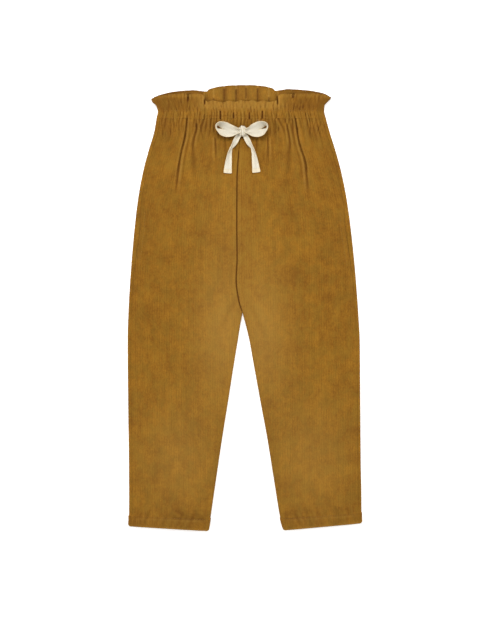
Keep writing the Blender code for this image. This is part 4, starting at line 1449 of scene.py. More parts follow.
@dataclass
class BackPanel(LegPanel):
    """The back of one leg, which wraps round the side fold to meet the front."""

    flat_columns: int = 92
    return_columns: int = 7
    aside: float = 1.2          # how far the rise seam lies to the right of the front's

    def raise_seam(self, points: Array) -> None:
        """Raise the top of the panel to the back's waist seam.

        Args:
            points: the points of one face, which are moved.
        """
        x, y = points[..., 0], points[..., 1]
        left, right = (PATTERN.fold_x[side](y) for side in Side)
        across = (2 * x - left - right) / (right - left)
        share = ease((y - 400) / (PATTERN.seam_y - 400))
        points[..., 1] = y + PATTERN.back_lift(across) * share

    def relief(self, rows: Rows, distance: Array) -> Pair:
        """Hollows of the underside, which only rise from the surface that it lies on.

        Args:
            rows: the rows they lie on.
            distance: from the rows' outer ends.

        Returns:
            Heights, and places from 0 at the side fold to 1 at the centre.
        """
        plan = rows.places(distance)
        x, y = plan[..., 0], plan[..., 1]
        ramp = PATTERN.ramp(rows, distance)
        place = distance / rows.width
        below = PATTERN.seam_y - y
        seed = 26 + 3 * self.side.sign
        hollow = 0.32 * (1 + ripple(x / 24, y / 70, seed)) * ease(below / 20)
        for crease in self.creases:
            hollow += np.maximum(-crease.height_at(x, y), -0.25)
        gathers = BACK_GATHERS[self.side]
        tall = gathers.height * (1 - ease(below / gathers.reach))
        hollow += np.maximum(tall - gathers.height_at(place, below), 0)
        hollow = hollow * ramp + 0.7 * bell(rows.width - distance, 1) * rows.seat
        hem_top = PATTERN.hem(self.side)[0] + PATTERN.hem_depth
        hollow += 0.3 * bell(rows.level - hem_top + self.hem_stitch, 0.75) * ramp
        return np.maximum(hollow, 0), place

    def build(self) -> list[Piece]:
        """Make the panel and its sewing.

        Returns:
            The panel and its stitches.
        """
        rows = PATTERN.rows(self.side, *PATTERN.row_ends(self.side, 2.2, 3.2), self.aside)
        fold = rows.fold[:, None]
        seam, gap = PATTERN.seam_inset(rows.level), PATTERN.seam_open(rows.level)
        part = np.linspace(0, 1, self.return_columns)
        back = (seam - gap) + (fold - seam + gap) * part
        angles = np.radians(np.linspace(90, 0, self.roll_columns + 1))
        over_fold = fold * (1 - np.cos(angles[1:-1]))
        upper = np.concatenate([back, over_fold], axis=1)
        upper_out, upper_in = PATTERN.layer(rows, upper, Layer.UPPER, -PATTERN.seam_gap)
        flat = fold + (rows.width - 2 * fold) * np.linspace(0, 1, self.flat_columns)
        rolled = fold * (1 - np.cos(angles[::-1]))
        lower = np.concatenate([rolled[:, :-1], flat, (rows.width - rolled)[:, ::-1][:, 1:]],
                               axis=1)
        hollow, place = self.relief(rows, lower)
        lower_out, lower_in = PATTERN.layer(rows, lower, Layer.LOWER, hollow)
        outer = np.concatenate([upper_out, lower_out], axis=1)
        inner = np.concatenate([upper_in, lower_in], axis=1)
        distance = np.concatenate([upper, lower], axis=1)
        self.raise_seam(outer)
        self.raise_seam(inner)
        places = np.concatenate([-upper / rows.width, place], axis=1)
        across = np.where(places < 0, -1, 1) * self.side.sign * -distance
        across += PATTERN.fold_x[self.side](GRAIN.flat_y)
        grain = np.stack([across, outer[..., 1]], axis=-1)
        round_corners(outer, inner, rows, distance)
        sheet = Cloth(outer, inner, grain, self.wear_and_painted_light(rows, places, outer), 0.05, 0.5)
        return [self.panel(sheet, "back"), self._sewing(lower_out)]

    def wear_and_painted_light(self, rows: Rows, places: Array, points: Array) -> Array:
        """Wear along the hem, painted highlight on ridges, and painted shade in the seams and
        hollows.

        Args:
            rows: the rows they lie on.
            places: from 0 at the side fold to 1 at the centre, below 0 on the upper side.
            points: the points of the outer face.

        Returns:
            How much wear and painted highlight, and how much painted shade, each point has.
        """
        y = rows.level + 0 * places
        hem_low = PATTERN.hem(self.side)[0]
        ramp = PATTERN.ramp(rows, np.abs(places) * rows.width) * (places > 0)
        hollow = -hollowness(points[..., 2], 2, 0.45) * ramp
        # Real wear along the hem's edge; painted highlight on the ridges.
        wear_and_highlight = 0.3 * bell(y - hem_low, 1.2) + 0.2 * np.maximum(-hollow, 0)
        wear_and_highlight += worn_and_lit_pile(points[..., 0], points[..., 1])
        # Painted shade: darker over the hem, in the hollows, along the hem's stitching and the
        # rise seam.
        shade = 0.12 * rows.hem[:, None] + 0.6 * np.maximum(hollow, 0)
        shade += 0.3 * bell(y - hem_low - PATTERN.hem_depth + self.hem_stitch, 0.7)
        shade += 0.6 * bell((1 - places) * rows.width, 0.8) * rows.seat
        return marks(wear_and_highlight, shade)

    def _sewing(self, lower_out: Array) -> Piece:
        """Sew the hem on the underside.

        Args:
            lower_out: the points of the underside.

        Returns:
            The stitches.
        """
        level = PATTERN.hem(self.side)[0] + PATTERN.hem_depth - self.hem_stitch
        row = int(np.argmin(np.abs(lower_out[:, 8, 1] - level)))
        run = ThreadRun(sink=0.2, up=-1)
        run.along(lower_out[row, 8:-8])
        return self.sewn(run, "back")


# -- Waist pieces --

@dataclass
class WaistPiece:
    """What both waist pieces share: their place, height, roll at the sides and stitching."""

    cloth: Corduroy
    thread: SewingThread
    width: float = 204.4
    even_width: float = 198.0   # over which the columns are evenly spaced
    seam_row: float = 1.6       # height of the lower stitching over the seam
    casing: float = 9.6         # height of the upper stitching
    waist_gap: float = 0.15     # over the panels, where the seam is drawn shut

    def lobes(self, creases: Table, x: Array, power: float = 0.6) -> Array:
        """Round waves between creases.

        Args:
            creases: X and depth of each crease first in its row.
            x: X of points in plan.
            power: how round the waves are, below 1.

        Returns:
            Heights.
        """
        keys, depths = (np.array([row[column] for row in creases]) for column in (0, 1))
        n, s = find_span(keys, x)
        depth = depths[n] + (depths[n + 1] - depths[n]) * s
        return depth * np.sin(math.pi * np.clip(s, 0, 1)) ** power

    def columns(self, step: float) -> Array:
        """Place the columns, closer together round the side folds.

        Args:
            step: spacing between the folds.

        Returns:
            Parts of the width.
        """
        ends = np.array([0, 0.12, 0.3, 0.55, 0.9, 1.35, 1.9, 2.5]) / self.width
        inset = 3.1 / self.width
        even = np.linspace(inset, 1 - inset, int(self.even_width / step))
        return np.concatenate([ends, even, 1 - ends[::-1]])

    def face(self, part: Array, x_part: Array, layer: Layer, edge: Curve, stand: Array) -> Pair:
        """Lay out both faces of a waist piece.

        Args:
            part: the rows, in parts of the height.
            x_part: the columns, in parts of the width.
            layer: upper for the front, lower for the back.
            edge: Y of the free edge over X.
            stand: height over the plain form.

        Returns:
            Points of the outer and of the inner face.
        """
        base = PATTERN.seam_y + self.waist_gap
        tip_y = PATTERN.tip_y + PATTERN.tip_slope * x_part[None, :]
        side_y = base + (tip_y - base) * part[:, None]
        left, right = (PATTERN.fold_x[side](side_y) for side in Side)
        fold = PATTERN.fold(side_y)
        width = right - left
        from_left = width * x_part
        x = left + from_left
        seam_y = base + 0 * x
        if layer is Layer.LOWER:
            seam_y = PATTERN.back_lift(2 * x_part - 1)[None, :] + 0 * x
            seam_y += PATTERN.seam_y + PATTERN.back_seam_gap
        y = seam_y + (edge(x) - seam_y) * part[:, None]
        distance = np.minimum(from_left, width - from_left)
        way = np.where(from_left < width - from_left, 1, -1)
        angle = np.where(distance < fold,
                         np.arccos(np.clip((fold - distance) / fold, 0, 1)), math.pi / 2)
        turn = layer.value
        middle = fold + (PATTERN.seam_gap if layer is Layer.UPPER else 0.0)
        z = middle + turn * fold * np.sin(angle) + stand * ease((distance - fold) / 10)
        outer = np.stack([x, y, z], axis=-1)
        inward = np.stack([way * np.cos(angle), 0 * z, -turn * np.sin(angle)], axis=-1)
        return outer, outer + inward * PATTERN.waist_wall

    def place_of(self, x_part: Array) -> Pair:
        """Find each column's place on its half of the waist.

        Args:
            x_part: parts of the width.

        Returns:
            Whether each is left of the rise seam, and its place from 0 at the side seam to 1.
        """
        centre, start = PATTERN.centre_part()
        left = x_part < centre
        place_left = (x_part - start) / (centre - start)
        place_right = (1 - x_part - start) / (1 - centre - start)
        return left, np.where(left, place_left, place_right)

    def grain(self, x_part: Array, y: Array) -> Array:
        """Let the wales run on from the leg panels.

        Args:
            x_part: parts of the width.
            y: Y of the points.

        Returns:
            Millimetres across and along the wales.
        """
        left, place = self.place_of(x_part)
        across = [GRAIN.on_panel(side, 0 * place, 0 * place + 480, place)[..., 0]
                  for side in Side]
        return np.stack([np.where(left, *across)[None, :] + 0 * y, y], axis=-1)

    def sew(self, run: ThreadRun, node: str, outer: Array, up: Array) -> Piece:
        """Sew both rows of stitching that hold the elastic.

        Args:
            run: the kind of stitches.
            node: name of the waist piece's node.
            outer: the points of the outer face.
            up: their heights over the seam.

        Returns:
            The stitches.
        """
        for height in (self.seam_row, self.casing):
            run.along(np.array([[np.interp(height, up[:, n], outer[:, n, axis])
                                 for axis in range(3)] for n in range(9, up.shape[1] - 9)]))
        return run.finish(node + "_sewing", self.thread.material("spun_thread_" + node))


@dataclass
class WaistFront(WaistPiece):
    """Front casing and ruffle."""

    # X and Y of the free edge.
    edge: Table = (
        (-113, 518.4), (-107, 521), (-98, 522.8), (-84, 524.2), (-71.2, 524.6), (-68.4, 520.6),
        (-66.4, 523.6), (-60, 524.6), (-51.4, 523.4), (-49.4, 521.6), (-47.6, 516.6), (-45, 515),
        (-39, 516.4), (-33, 515.2), (-26, 514.2), (-19, 516.2), (-12, 514.8), (-5, 516.6),
        (3, 515.4), (9, 516.8), (15, 514.8), (22, 516.4), (29, 514.8), (35, 515.6), (38.2, 516.8),
        (39.8, 521.8), (42, 523.6), (49, 524.8), (55.8, 524), (58.2, 521.4), (60.8, 524.8),
        (75, 524.8), (90, 524.4), (98, 522.8), (103.6, 520.6),
    )
    # X and depth of the ruffle's creases.
    waves: Table = (
        (-113, 0.3), (-98, 0.5), (-84, 0.4), (-68.4, 1), (-58, 0.4), (-48.2, 0.9), (-38, 0.4),
        (-26, 0.6), (-13, 0.5), (0, 0.6), (12, 0.5), (25, 0.6), (38.8, 0.9), (48, 0.4), (58.2, 1),
        (73, 0.4), (88, 0.5), (103.6, 0.3),
    )
    # X, top Y, lower Y, depth and half width of the short dark pleats.
    pleats: Table = (
        (-29.6, 505, 492, 1.25, 0.9), (-13.9, 502.6, 490, 1, 0.8), (5.4, 503.6, 490, 1, 0.8),
        (20.8, 505, 493, 1.25, 0.9), (-48.4, 519, 512.5, 1.3, 0.8), (38.9, 521, 512.5, 1.2, 0.7),
        (-68.3, 530, 517.6, 1.7, 1.1), (57.6, 530, 520.6, 1.7, 1.3), (-48.6, 501, 494, 0.6, 0.9),
        (37.4, 501, 494, 0.6, 0.9), (-69.4, 499, 493, 0.7, 0.9), (59.6, 499, 493, 0.7, 0.9),
    )
    # Part of the height and how far it stands up.
    stand: Table = ((0, 0), (0.10, -0.2), (0.25, 0.4), (0.40, -0.2), (0.55, 0.3),
                    (0.78, 0.6), (1, 0.8))

    @staticmethod
    def pleat_run(y: Array, top: float, low: float) -> Array:
        """1 along a pleat, fading to 0 past its ends."""
        return ease((top - y) / 2.5) * ease((y - low + 2) / 3)

    def build(self) -> list[Piece]:
        """Make the piece and its rows of stitching.

        Returns:
            The casing with its ruffle, and the stitches.
        """
        parts = np.linspace(0, 1, 42)
        x_part = self.columns(0.62)
        outer, inner, up = self.surface(parts, x_part)
        wear_and_painted_light = self.wear_and_painted_light(parts, x_part, outer, up)
        sheet = Cloth(outer, inner, self.grain(x_part, outer[..., 1]), wear_and_painted_light, 0.05, 0.3)
        piece = hang(sheet, "waist_front_ruffle", self.cloth, "waist_front")
        run = ThreadRun(stitch=2.1, gap=0.9, sink=0.3)
        return [piece, self.sew(run, "waist_front", outer, up)]

    def wear_and_painted_light(self, parts: Array, x_part: Array, outer: Array, up: Array) -> Array:
        """Painted highlight along the brim and on ridges, and painted shade in the pleats, hollows
        and at both sides.

        Args:
            parts: the rows, in parts of the height.
            x_part: the columns, in parts of the width.
            outer: the points of the outer face.
            up: their heights over the seam.

        Returns:
            How much wear and painted highlight, and how much painted shade, each point has.
        """
        x, y = outer[..., 0], outer[..., 1]
        hollow = hollowness(outer[..., 2], 3, 0.4)
        hollow *= ease((np.minimum(x_part, 1 - x_part) * 204 - 3) / 6)
        header = ease((up - self.casing) / 3)
        middle = ease((66 - np.abs(x + 4.8)) / 26)
        # Painted highlight: the lit band of the brim's middle, the ridges, and a line near the top
        # at the sides.
        wear_and_highlight = 0.21 * middle * ease((up - 7.5) / 7) + 0.22 * np.maximum(-hollow, 0)
        wear_and_highlight += 0.1 * (1 - middle) * bell(parts[:, None] - 0.93, 0.05)
        # Painted shade near the seam, in the hollows and over the sides of the brim; the ripple is
        # a random tone.
        shade = 0.06 * (1 - ease(up / 6)) + 0.06 * (1 - header) * (1 - middle)
        shade += (0.56 + 0.1 * header) * np.maximum(hollow, 0)
        shade += 0.07 * ripple(x / 6, y / 3.6, 13) * header
        painted_side_shade = 0.16 + 0.22 * ease((521.5 - y) / 3.5)
        shade += painted_side_shade * (1 - middle) * ease((up - 6.5) / 6)
        # Painted shade along the pleats.
        for at, top, low, depth, half in self.pleats[:8]:
            shade += 0.55 * depth * self.pleat_run(y, top, low) * bell(x - at, half)
        return marks(wear_and_highlight, shade)

    def surface(self, parts: Array, x_part: Array) -> tuple[Array, Array, Array]:
        """Lay out the gathers, the elastic's puff, the ruffle's waves and the pleats.

        Args:
            parts: the rows, in parts of the height.
            x_part: the columns, in parts of the width.

        Returns:
            Points of the outer and of the inner face, and their heights over the seam.
        """
        edge = Curve.through(self.edge)
        flat, _ = self.face(parts, x_part, Layer.UPPER, edge, np.zeros((1, 1)))
        x, y = flat[..., 0], flat[..., 1]
        up = y - PATTERN.seam_y - self.waist_gap
        left, place = self.place_of(x_part)
        section = np.where(left, *(FRONT_GATHERS[side].lobes(place)[1] for side in Side))
        pinch = 1 - 0.4 * bell(up - self.seam_row - 0.6, 1.4) - 0.5 * bell(up - self.casing, 1.8)
        fade = 1 - 0.85 * ease((up - self.casing + 2) / 6)
        puff = 0.55 * np.sin(math.pi * np.clip(up / self.casing, 0, 1)) ** 0.8
        fine = crinkle(x, y) + 0.5 * ripple(x / 2.4, y / 5, 9) * ease((up - self.casing) / 4)
        fine = fine * (1 - 0.3 * ease((up - self.casing) / 6)) + PUCKERS.height_at(x, y)
        crown = PATTERN.crown * (1 - np.abs(2 * x_part - 1) ** 3)
        fine += crown * (1 - ease(up / 14))
        rise = Curve.through(self.stand)(parts)[:, None]
        waves = self.lobes(self.waves, x) * ease(parts)[:, None]
        stand = rise + waves + section[None, :] * pinch * fade + 0.6 * puff + fine
        for at, top, low, depth, half in self.pleats:
            lips = bell(x - at - 2.1, 1.1) + bell(x - at + 2.1, 1.1)
            stand -= depth * self.pleat_run(y, top, low) * (bell(x - at, half) - 0.45 * lips)
        outer, inner = self.face(parts, x_part, Layer.UPPER, edge, stand)
        wander(outer, inner)
        return outer, inner, up


@dataclass
class WaistBack(WaistPiece):
    """Back casing and ruffle, whose inner face shows above the front's edge."""

    edge: Table = (
        (-113, 518.4), (-107, 521.6), (-96, 525), (-81.6, 527.6), (-63.6, 528.8), (-48, 527.4),
        (-45.8, 527.3), (-44, 529.3), (-40, 531), (-31.2, 533.1), (-13.2, 534.7), (4.8, 535),
        (22.8, 533.6), (31.6, 531.6), (34, 530.4), (36, 528.2), (44.4, 529.2), (51.6, 530.1),
        (69.6, 529.2), (80.4, 528), (94.8, 525), (103.6, 520.6),
    )
    # X, depth, how much shade is painted along it, half width of that, lowest and highest Y of it.
    pleats: Table = (
        (-113, 0.5, 0, 1, 500, 540), (-98, 0.7, 0.1, 1.6, 500, 540),
        (-83, 0.6, 0.1, 1.6, 500, 540), (-68.2, 1.2, 0.25, 1.1, 500, 540),
        (-48.2, 1.3, 0.95, 0.9, 500, 521.5), (-37.9, 1.1, 0.75, 0.9, 500, 521.5),
        (-25.2, 1.4, 0.8, 1.7, 500, 533), (-10.8, 1.4, 0.85, 1, 500, 532),
        (1.2, 1.3, 0.85, 0.9, 518.5, 534), (15, 1.4, 0.85, 1.2, 500, 533),
        (28.6, 1.1, 0.7, 0.9, 500, 522.5), (38.8, 1.3, 0.95, 0.9, 500, 524),
        (58.2, 1.2, 0.25, 1.1, 500, 540), (72, 0.6, 0.1, 1.6, 500, 540),
        (88, 0.7, 0.1, 1.6, 500, 540), (103.6, 0.5, 0, 1, 500, 540),
    )

    def build(self) -> list[Piece]:
        """Make the piece and its stitching.

        Returns:
            The casing with its ruffle, and the stitches.
        """
        parts = np.linspace(0, 1, 36)
        x_part = self.columns(0.8)
        edge = Curve.through(self.edge)
        flat, _ = self.face(parts, x_part, Layer.LOWER, edge, np.zeros((1, 1)))
        x, y = flat[..., 0], flat[..., 1]
        up = y - flat[:1, :, 1]
        ruffle = ease((parts - 0.22) / 0.3)[:, None]
        stand = self.lobes(self.pleats, x, 0.5) * ruffle * 1.6
        stand += 0.12 * (1 + ripple(x / 4, y / 16, 8))
        stand += 0.35 * (1 + ripple(x / 2.4, y / 9, 12)) * (1 - ruffle)
        stand += 0.3 * (bell(up - self.seam_row, 0.9) + bell(up - self.casing, 0.9))
        outer, inner = self.face(parts, x_part, Layer.LOWER, edge, stand)
        hollow = -hollowness(inner[..., 2], 4, 0.8) * ruffle
        # Painted highlight on the ruffle and its ridges; painted shade in the pleats, the hollows,
        # along the top edge and at both sides.
        wear_and_highlight = 0.08 * ruffle + 0.3 * np.maximum(-hollow, 0)
        shade = self._painted_pleat_shade(x, y) * ruffle + 0.35 * np.maximum(hollow, 0)
        shade += 0.3 * bell(parts[:, None] - 1, 0.05)
        shade += 0.35 * ease((np.abs(x + 4.8) - 43.4) / 3)
        grain = self.grain(x_part, outer[..., 1])
        sheet = Cloth(outer, inner, grain, marks(wear_and_highlight, shade), 0.05, 0.75)
        piece = hang(sheet, "waist_back_ruffle", self.cloth, "waist_back")
        run = ThreadRun(stitch=2.1, gap=0.9, sink=0.2, up=-1)
        return [piece, self.sew(run, "waist_back", outer, up)]

    def _painted_pleat_shade(self, x: Array, y: Array) -> Array:
        """Paint shade along the pleats.

        Args:
            x: X of points in plan.
            y: Y of the points.

        Returns:
            How much painted shade each point has.
        """
        shade = np.zeros_like(x)
        for at, _, dark, half, low, high in self.pleats:
            run = ease((y - low) / 2.5) * ease((high - y) / 2.5)
            shade += dark * run * (bell(x - at, half) + 0.3 * bell(x - at - 2.2, 2.2))
        return shade


# -- The tape, its holes and the bow --

@dataclass(frozen=True)
class TapeSide:
    """What one side of the tape has for its own."""

    length: float
    tail: Table
    hole_x: float
    reach: float                # how far out the loop goes, against the table
    rear_up: float              # how much higher the loop's rear half lies


@dataclass
class TapeBow:
    """The cotton tape: out of each hole, round the bow's loops and down to its two ends."""

    tape: CottonTape
    thread: SewingThread
    thick: float = 0.95
    knot_x: float = -2.8
    knot_y: float = 479.3
    knot_half: tuple[float, float, float] = (4.9, 6.3, 3.3)
    hole_y: float = 489.9
    hole_half: tuple[float, float] = (1.35, 3.5)
    clear: float = 0.2
    loop_clear: float = 1.6
    full_width: float = 10.2
    diameter: float = 10.0
    gather_height: float = 1.0
    gather_length: float = 26.0
    # Outward and up from the knot's middle, tilt, width in plan, and height added.
    lead: Table = ((19.5, 8.4, 0, 5, 0), (12, 4.6, 0, 5, 0),
                   (5.2, 1.6, 0, 5, 0))
    loop: Table = (
        (5, -2.4, 48, 6, 0.4), (11.5, -2.6, 20, 8.8, 0.6), (19.4, -2.3, 10, 10, 0.9),
        (26, -1.5, 36, 10.2, 0.2), (30.8, 1, 68, 10.2, 0), (33, 4.2, 83, 10.2, 0),
        (32, 7.4, 81, 10.2, 0), (27.6, 8.2, 58, 10.2, 0), (20.4, 6, 24, 10, 0.2),
        (11.5, 2.7, 22, 8.6, 0.2), (5, 1.5, 48, 6, 0.6),
    )
    left: TapeSide = TapeSide(148, (
        (5.2, -5.6, -10, 5.8, 0.3), (9.3, -12.2, -20, 6.6, 0.8), (14.5, -19.6, -72, 6.4, 0),
        (16.5, -26.6, -38, 6.4, 0),
        (17.2, -39.4, 0, 8.3, 0), (18, -50.1, 0, 9.6, 0)), -22.9, 0.95, -0.9)
    right: TapeSide = TapeSide(141.6, (
        (3.3, -5.6, -10, 5.6, 0.3), (7.5, -12.6, -20, 6.6, 0.8), (12.2, -19.2, -66, 6.2, 0),
        (14.3, -27, -36, 6.2, 0),
        (15.4, -40.2, 0, 8.2, 0), (16.4, -49.2, 0, 9.4, 0)), 15.4, 0.875, 0.8)

    def front_top(self, x: float, y: float) -> float:
        """Measure the front's outer face, over the highest gathers there.

        Args:
            x: X of a point in plan.
            y: Y of the point.

        Returns:
            Its height.
        """
        side = Side.LEFT if x < float(PATTERN.rise_x(y)) else Side.RIGHT
        rows = PATTERN.rows(side, np.array([y]), np.array([y]))
        distance = np.array([[abs(x - rows.outer[0, 0])]])
        lift = PATTERN.crown_height(rows, distance) * PATTERN.ramp(rows, distance)
        outer, _ = PATTERN.layer(rows, distance, Layer.UPPER, lift)
        fade = 1 - float(ease((PATTERN.seam_y - y) / (1.5 * self.gather_length)))
        return float(outer[0, 0, 2]) + self.gather_height * fade

    def stations(self, places: Table, side: Side, clear: float, reach: float = 1.0,
                 rear_up: float = 0.0) -> list[tuple[float, ...]]:
        """Lay places along the tape on the front.

        Args:
            places: rows of outward, up, tilt, width and height added.
            side: which side of the knot.
            clear: room left over the front.
            reach: how far out they go, against the table.
            rear_up: how much higher the rear half of a loop lies.

        Returns:
            X, Y, Z, tilt and width of each.
        """
        near = min(place[0] for place in places)
        made = []
        for out, up, tilt, width, raised in places:
            x = self.knot_x + side.sign * (near + (out - near) * reach)
            y = self.knot_y + up + rear_up * float(bell(out - 14, 9)) * (up > 1)
            rest = self.front_top(x, y) + clear + raised + self.thick / 2
            z = rest + 0.5 * width * abs(math.sin(math.radians(tilt)))
            made.append((x, y, z, tilt * side.sign, width))
        return made

    def route(self, side: Side) -> Array:
        """Lay the whole tape of one side: lead, knot, loop, knot and tail.

        Args:
            side: which side of the knot.

        Returns:
            Stations along it: X, Y, Z, tilt and width.
        """
        x, y = self.knot_x, self.knot_y
        z = self.front_top(x, y) + self.clear + self.knot_half[2]
        sign = side.sign
        own = self.left if side is Side.LEFT else self.right
        under = [(x + sign * 1.6, y + 0.6, z - 0.9, 20 * sign, 4.2),
                 (x + sign * 1.4, y - 1.2, z - 0.4, 40 * sign, 4.2)]
        over = [(x + sign * 1.6, y + 0.8, z + 0.2, 40 * sign, 4.2),
                (x + sign * 1.2, y - 2.6, z - 0.6, 0, 4.4)]
        given = (self.stations(self.lead, side, self.clear) + under
                 + self.stations(self.loop, side, self.loop_clear, own.reach, own.rear_up)
                 + over + self.stations(own.tail, side, self.clear))
        path = blend(np.array(given), 10)
        close = np.array([0.3, 0.55, 0.75, 0.88, 0.96, 1])[:, None]
        return np.vstack([path[:-1], path[-2] + (path[-1] - path[-2]) * close])

    def build(self) -> list[Piece]:
        """Make both sides of the tape, the knot and the holes that the tape comes out of.

        Returns:
            All of these pieces.
        """
        knot = self._knot()
        made = [knot]
        for side, own in ((Side.LEFT, self.left), (Side.RIGHT, self.right)):
            route = self.route(side)
            piece = self._ribbon(side, route)
            name = side.value
            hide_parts("lead_" + name, "loop_" + name, "tail_" + name)
            LOG.info("tape_%s: %.1f mm long", name, travelled(route[:, :3])[-1])
            made += [piece, self._hole(side, own.hole_x)]
        return made

    def _ribbon(self, side: Side, route: Array) -> Piece:
        """Sweep the tape's section along its route.

        Args:
            side: which side of the knot.
            route: stations along it: X, Y, Z, tilt and width.

        Returns:
            The dressed tape.
        """
        centre = route[:, :3]
        along = np.vstack([centre[1:], centre[-1:]]) - np.vstack([centre[:1], centre[:-1]])
        along /= np.linalg.norm(along, axis=-1, keepdims=True)
        tilt = np.radians(route[:, 3])[:, None]
        flat = np.stack([along[:, 1], -along[:, 0], 0 * along[:, 0]], axis=-1)
        flat /= np.maximum(np.linalg.norm(flat, axis=-1, keepdims=True), 1e-6)
        across = flat * np.cos(tilt) + np.array([0, 0, 1]) * np.sin(tilt)
        across -= along * (across * along).sum(axis=-1, keepdims=True)
        across /= np.linalg.norm(across, axis=-1, keepdims=True)
        face = np.cross(along, across)
        gone = travelled(centre)
        to_end = gone[-1] - gone
        band = ease((5.2 - to_end) / 0.6)
        rounded = 1 - np.clip(1 - to_end / 1.1, 0, 1) ** 2
        width = route[:, 4] * (1 + 0.05 * band) - 2.2 * (1 - np.sqrt(rounded))
        thick = self.thick * (1 + 0.45 * band)
        half = np.linspace(-0.5, 0.5, 11)
        u = np.concatenate([half, half[::-1], half[:1]])
        upper = np.repeat([1, -1, 1], [11, 11, 1])
        edge = np.sqrt(np.clip(1 - (np.abs(u) * 2) ** 8, 0, 1))
        selvedge = 1 + 0.15 * bell(np.abs(u) - 0.42, 0.06)
        v = 0.5 * upper * np.maximum(edge, 0.3) * selvedge
        spare = np.clip(self.full_width - route[:, 4], 0, None) * route[:, 4]
        cup = 0.52 * np.sqrt(0.375 * spare) * ease((gone - gone[20]) / 6)
        out = u * width[:, None]
        high = v * thick[:, None] - (2 * u) ** 2 * cup[:, None]
        points = centre[:, None] + across[:, None] * out[..., None]
        points += face[:, None] * high[..., None]
        count = len(u)
        last = (len(route) - 1) * count
        ends = [list(range(count - 2, -1, -1)), list(range(last, last + count - 1))]
        grain = np.stack([out, gone[:, None] + 0 * out], axis=-1) / 100
        wear_and_highlight = 0.85 * bell(np.abs(u) - 0.5, 0.07) + 0.4 * band[:, None]
        wear_and_highlight = np.clip(wear_and_highlight, 0, 1)
        # Painted shade: in the cupped middle, greyer along the loops and the lead, and a line near
        # each end; the warm edges are the tape's own colour.
        crease = 0.26 * np.clip(cup / 1.4, 0, 1)[:, None] * bell(u, 0.16)
        crease += 0.16 * (1 - wear_and_highlight) * ease((to_end - 42) / 12)[:, None]
        crease += 0.3 * bell(to_end - 5, 0.5)[:, None]
        piece = make_piece("tape_" + side.value, points,
                           lattice_faces(len(route), count).tolist() + ends,
                           {"grain": grain, "wear_and_painted_light": marks(wear_and_highlight, crease)},
                           self.tape.material("herringbone_cotton_tape_" + side.value))
        return dress(outward(weld(piece)))

    def _knot(self) -> Piece:
        """Tie the knot: a turn of tape over the crossing, with soft folds where it pulls in.

        Returns:
            The dressed knot.
        """
        around, levels = 72, 36
        half = np.array(self.knot_half)
        base = self.front_top(self.knot_x, self.knot_y) + self.clear
        angle = np.linspace(0, 2 * math.pi, around + 1)[None, :]
        high = np.linspace(-math.pi / 2, math.pi / 2, levels)[:, None]

        def squared(value: Array, power: float) -> Array:
            """Square off a sine or cosine."""
            return np.sign(value) * np.abs(value) ** power

        x = squared(np.cos(high), 0.7) * squared(np.cos(angle), 0.85)
        y = squared(np.cos(high), 0.7) * squared(np.sin(angle), 0.85)
        z = squared(np.sin(high), 0.85) + 0 * x
        waist = 1 - 0.12 * bell(y, 0.45) + 0.06 * ease((y - 0.5) / 0.5)
        lean = x + 0.18 * y
        deep = bell(lean + 0.40, 0.09) + 0.8 * bell(lean - 0.24, 0.08)
        deep = (deep + 0.6 * bell(lean - 0.68, 0.07)) * (z > -0.2)
        size = 1 - 0.17 * deep + 0.06 * bell(lean + 0.08, 0.18) * (z > -0.2)
        points = np.stack([x * waist, y, z], axis=-1) * half * size[..., None]
        points += np.array([self.knot_x, self.knot_y, base + half[2]])
        grain = np.stack([x * 5, y * 7], axis=-1) / 100
        # Painted highlight on the ridges between the knot's folds; painted shade over the knot,
        # deepest in its folds.
        wear_and_highlight = 0.4 * bell(lean + 0.22, 0.08) + 0.4 * bell(lean - 0.42, 0.08)
        piece = make_piece("tape_knot", points, lattice_faces(levels, around + 1),
                           {"grain": grain, "wear_and_painted_light": marks(wear_and_highlight, 0.12 + 0.5 * deep)},
                           self.tape.material("herringbone_cotton_tape_knot"))
        outward(weld(piece))
        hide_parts("knot")
        return dress(piece)

    def _hole(self, side: Side, x: float) -> Piece:
        """Sew the round of the hole that the tape comes out of, just above the loop.

        Args:
            side: which side of the knot.
            x: X of its middle.

        Returns:
            The stitches.
        """
        centre = np.array([x, self.hole_y, self.front_top(x, self.hole_y) - 0.5])
        run = ThreadRun(stitch=1.5, gap=0, radius=0.26, sink=0.05)
        for angle in np.arange(26) * 2 * math.pi / 26:
            way = np.array([math.cos(angle), math.sin(angle), 0])
            middle = centre + way * np.array([*self.hole_half, 0])
            run.add_stitch(middle - way * 0.65, middle + way * 0.65)
        return run.finish("tape_hole_" + side.value,
                          self.thread.material("spun_thread_hole_" + side.value))


def blend(stations: Array, steps: int) -> Array:
    """Run a smooth curve through stations.

    Args:
        stations: rows of numbers.
        steps: how many stations each stretch gets.

    Returns:
        Stations along the curve.
    """
    padded = np.vstack([stations[:1], stations, stations[-1:]])
    s = (np.arange(steps) / steps)[:, None]
    path = [0.5 * (2 * q + (r - p) * s + (2 * p - 5 * q + 4 * r - w) * s * s
                   + (3 * q - p - 3 * r + w) * s ** 3)
            for p, q, r, w in zip(padded, padded[1:], padded[2:], padded[3:])]
    return np.vstack(path + [stations[-1:]])


def weld(piece: Piece) -> Piece:
    """Join corners that lie on each other.

    Args:
        piece: a mesh piece, which is changed.

    Returns:
        The same piece.
    """
    shape = bmesh.new()
    shape.from_mesh(piece.data)
    bmesh.ops.remove_doubles(shape, verts=shape.verts, dist=1e-6)
    shape.to_mesh(piece.data)
    shape.free()
    return piece


# -- Studio --

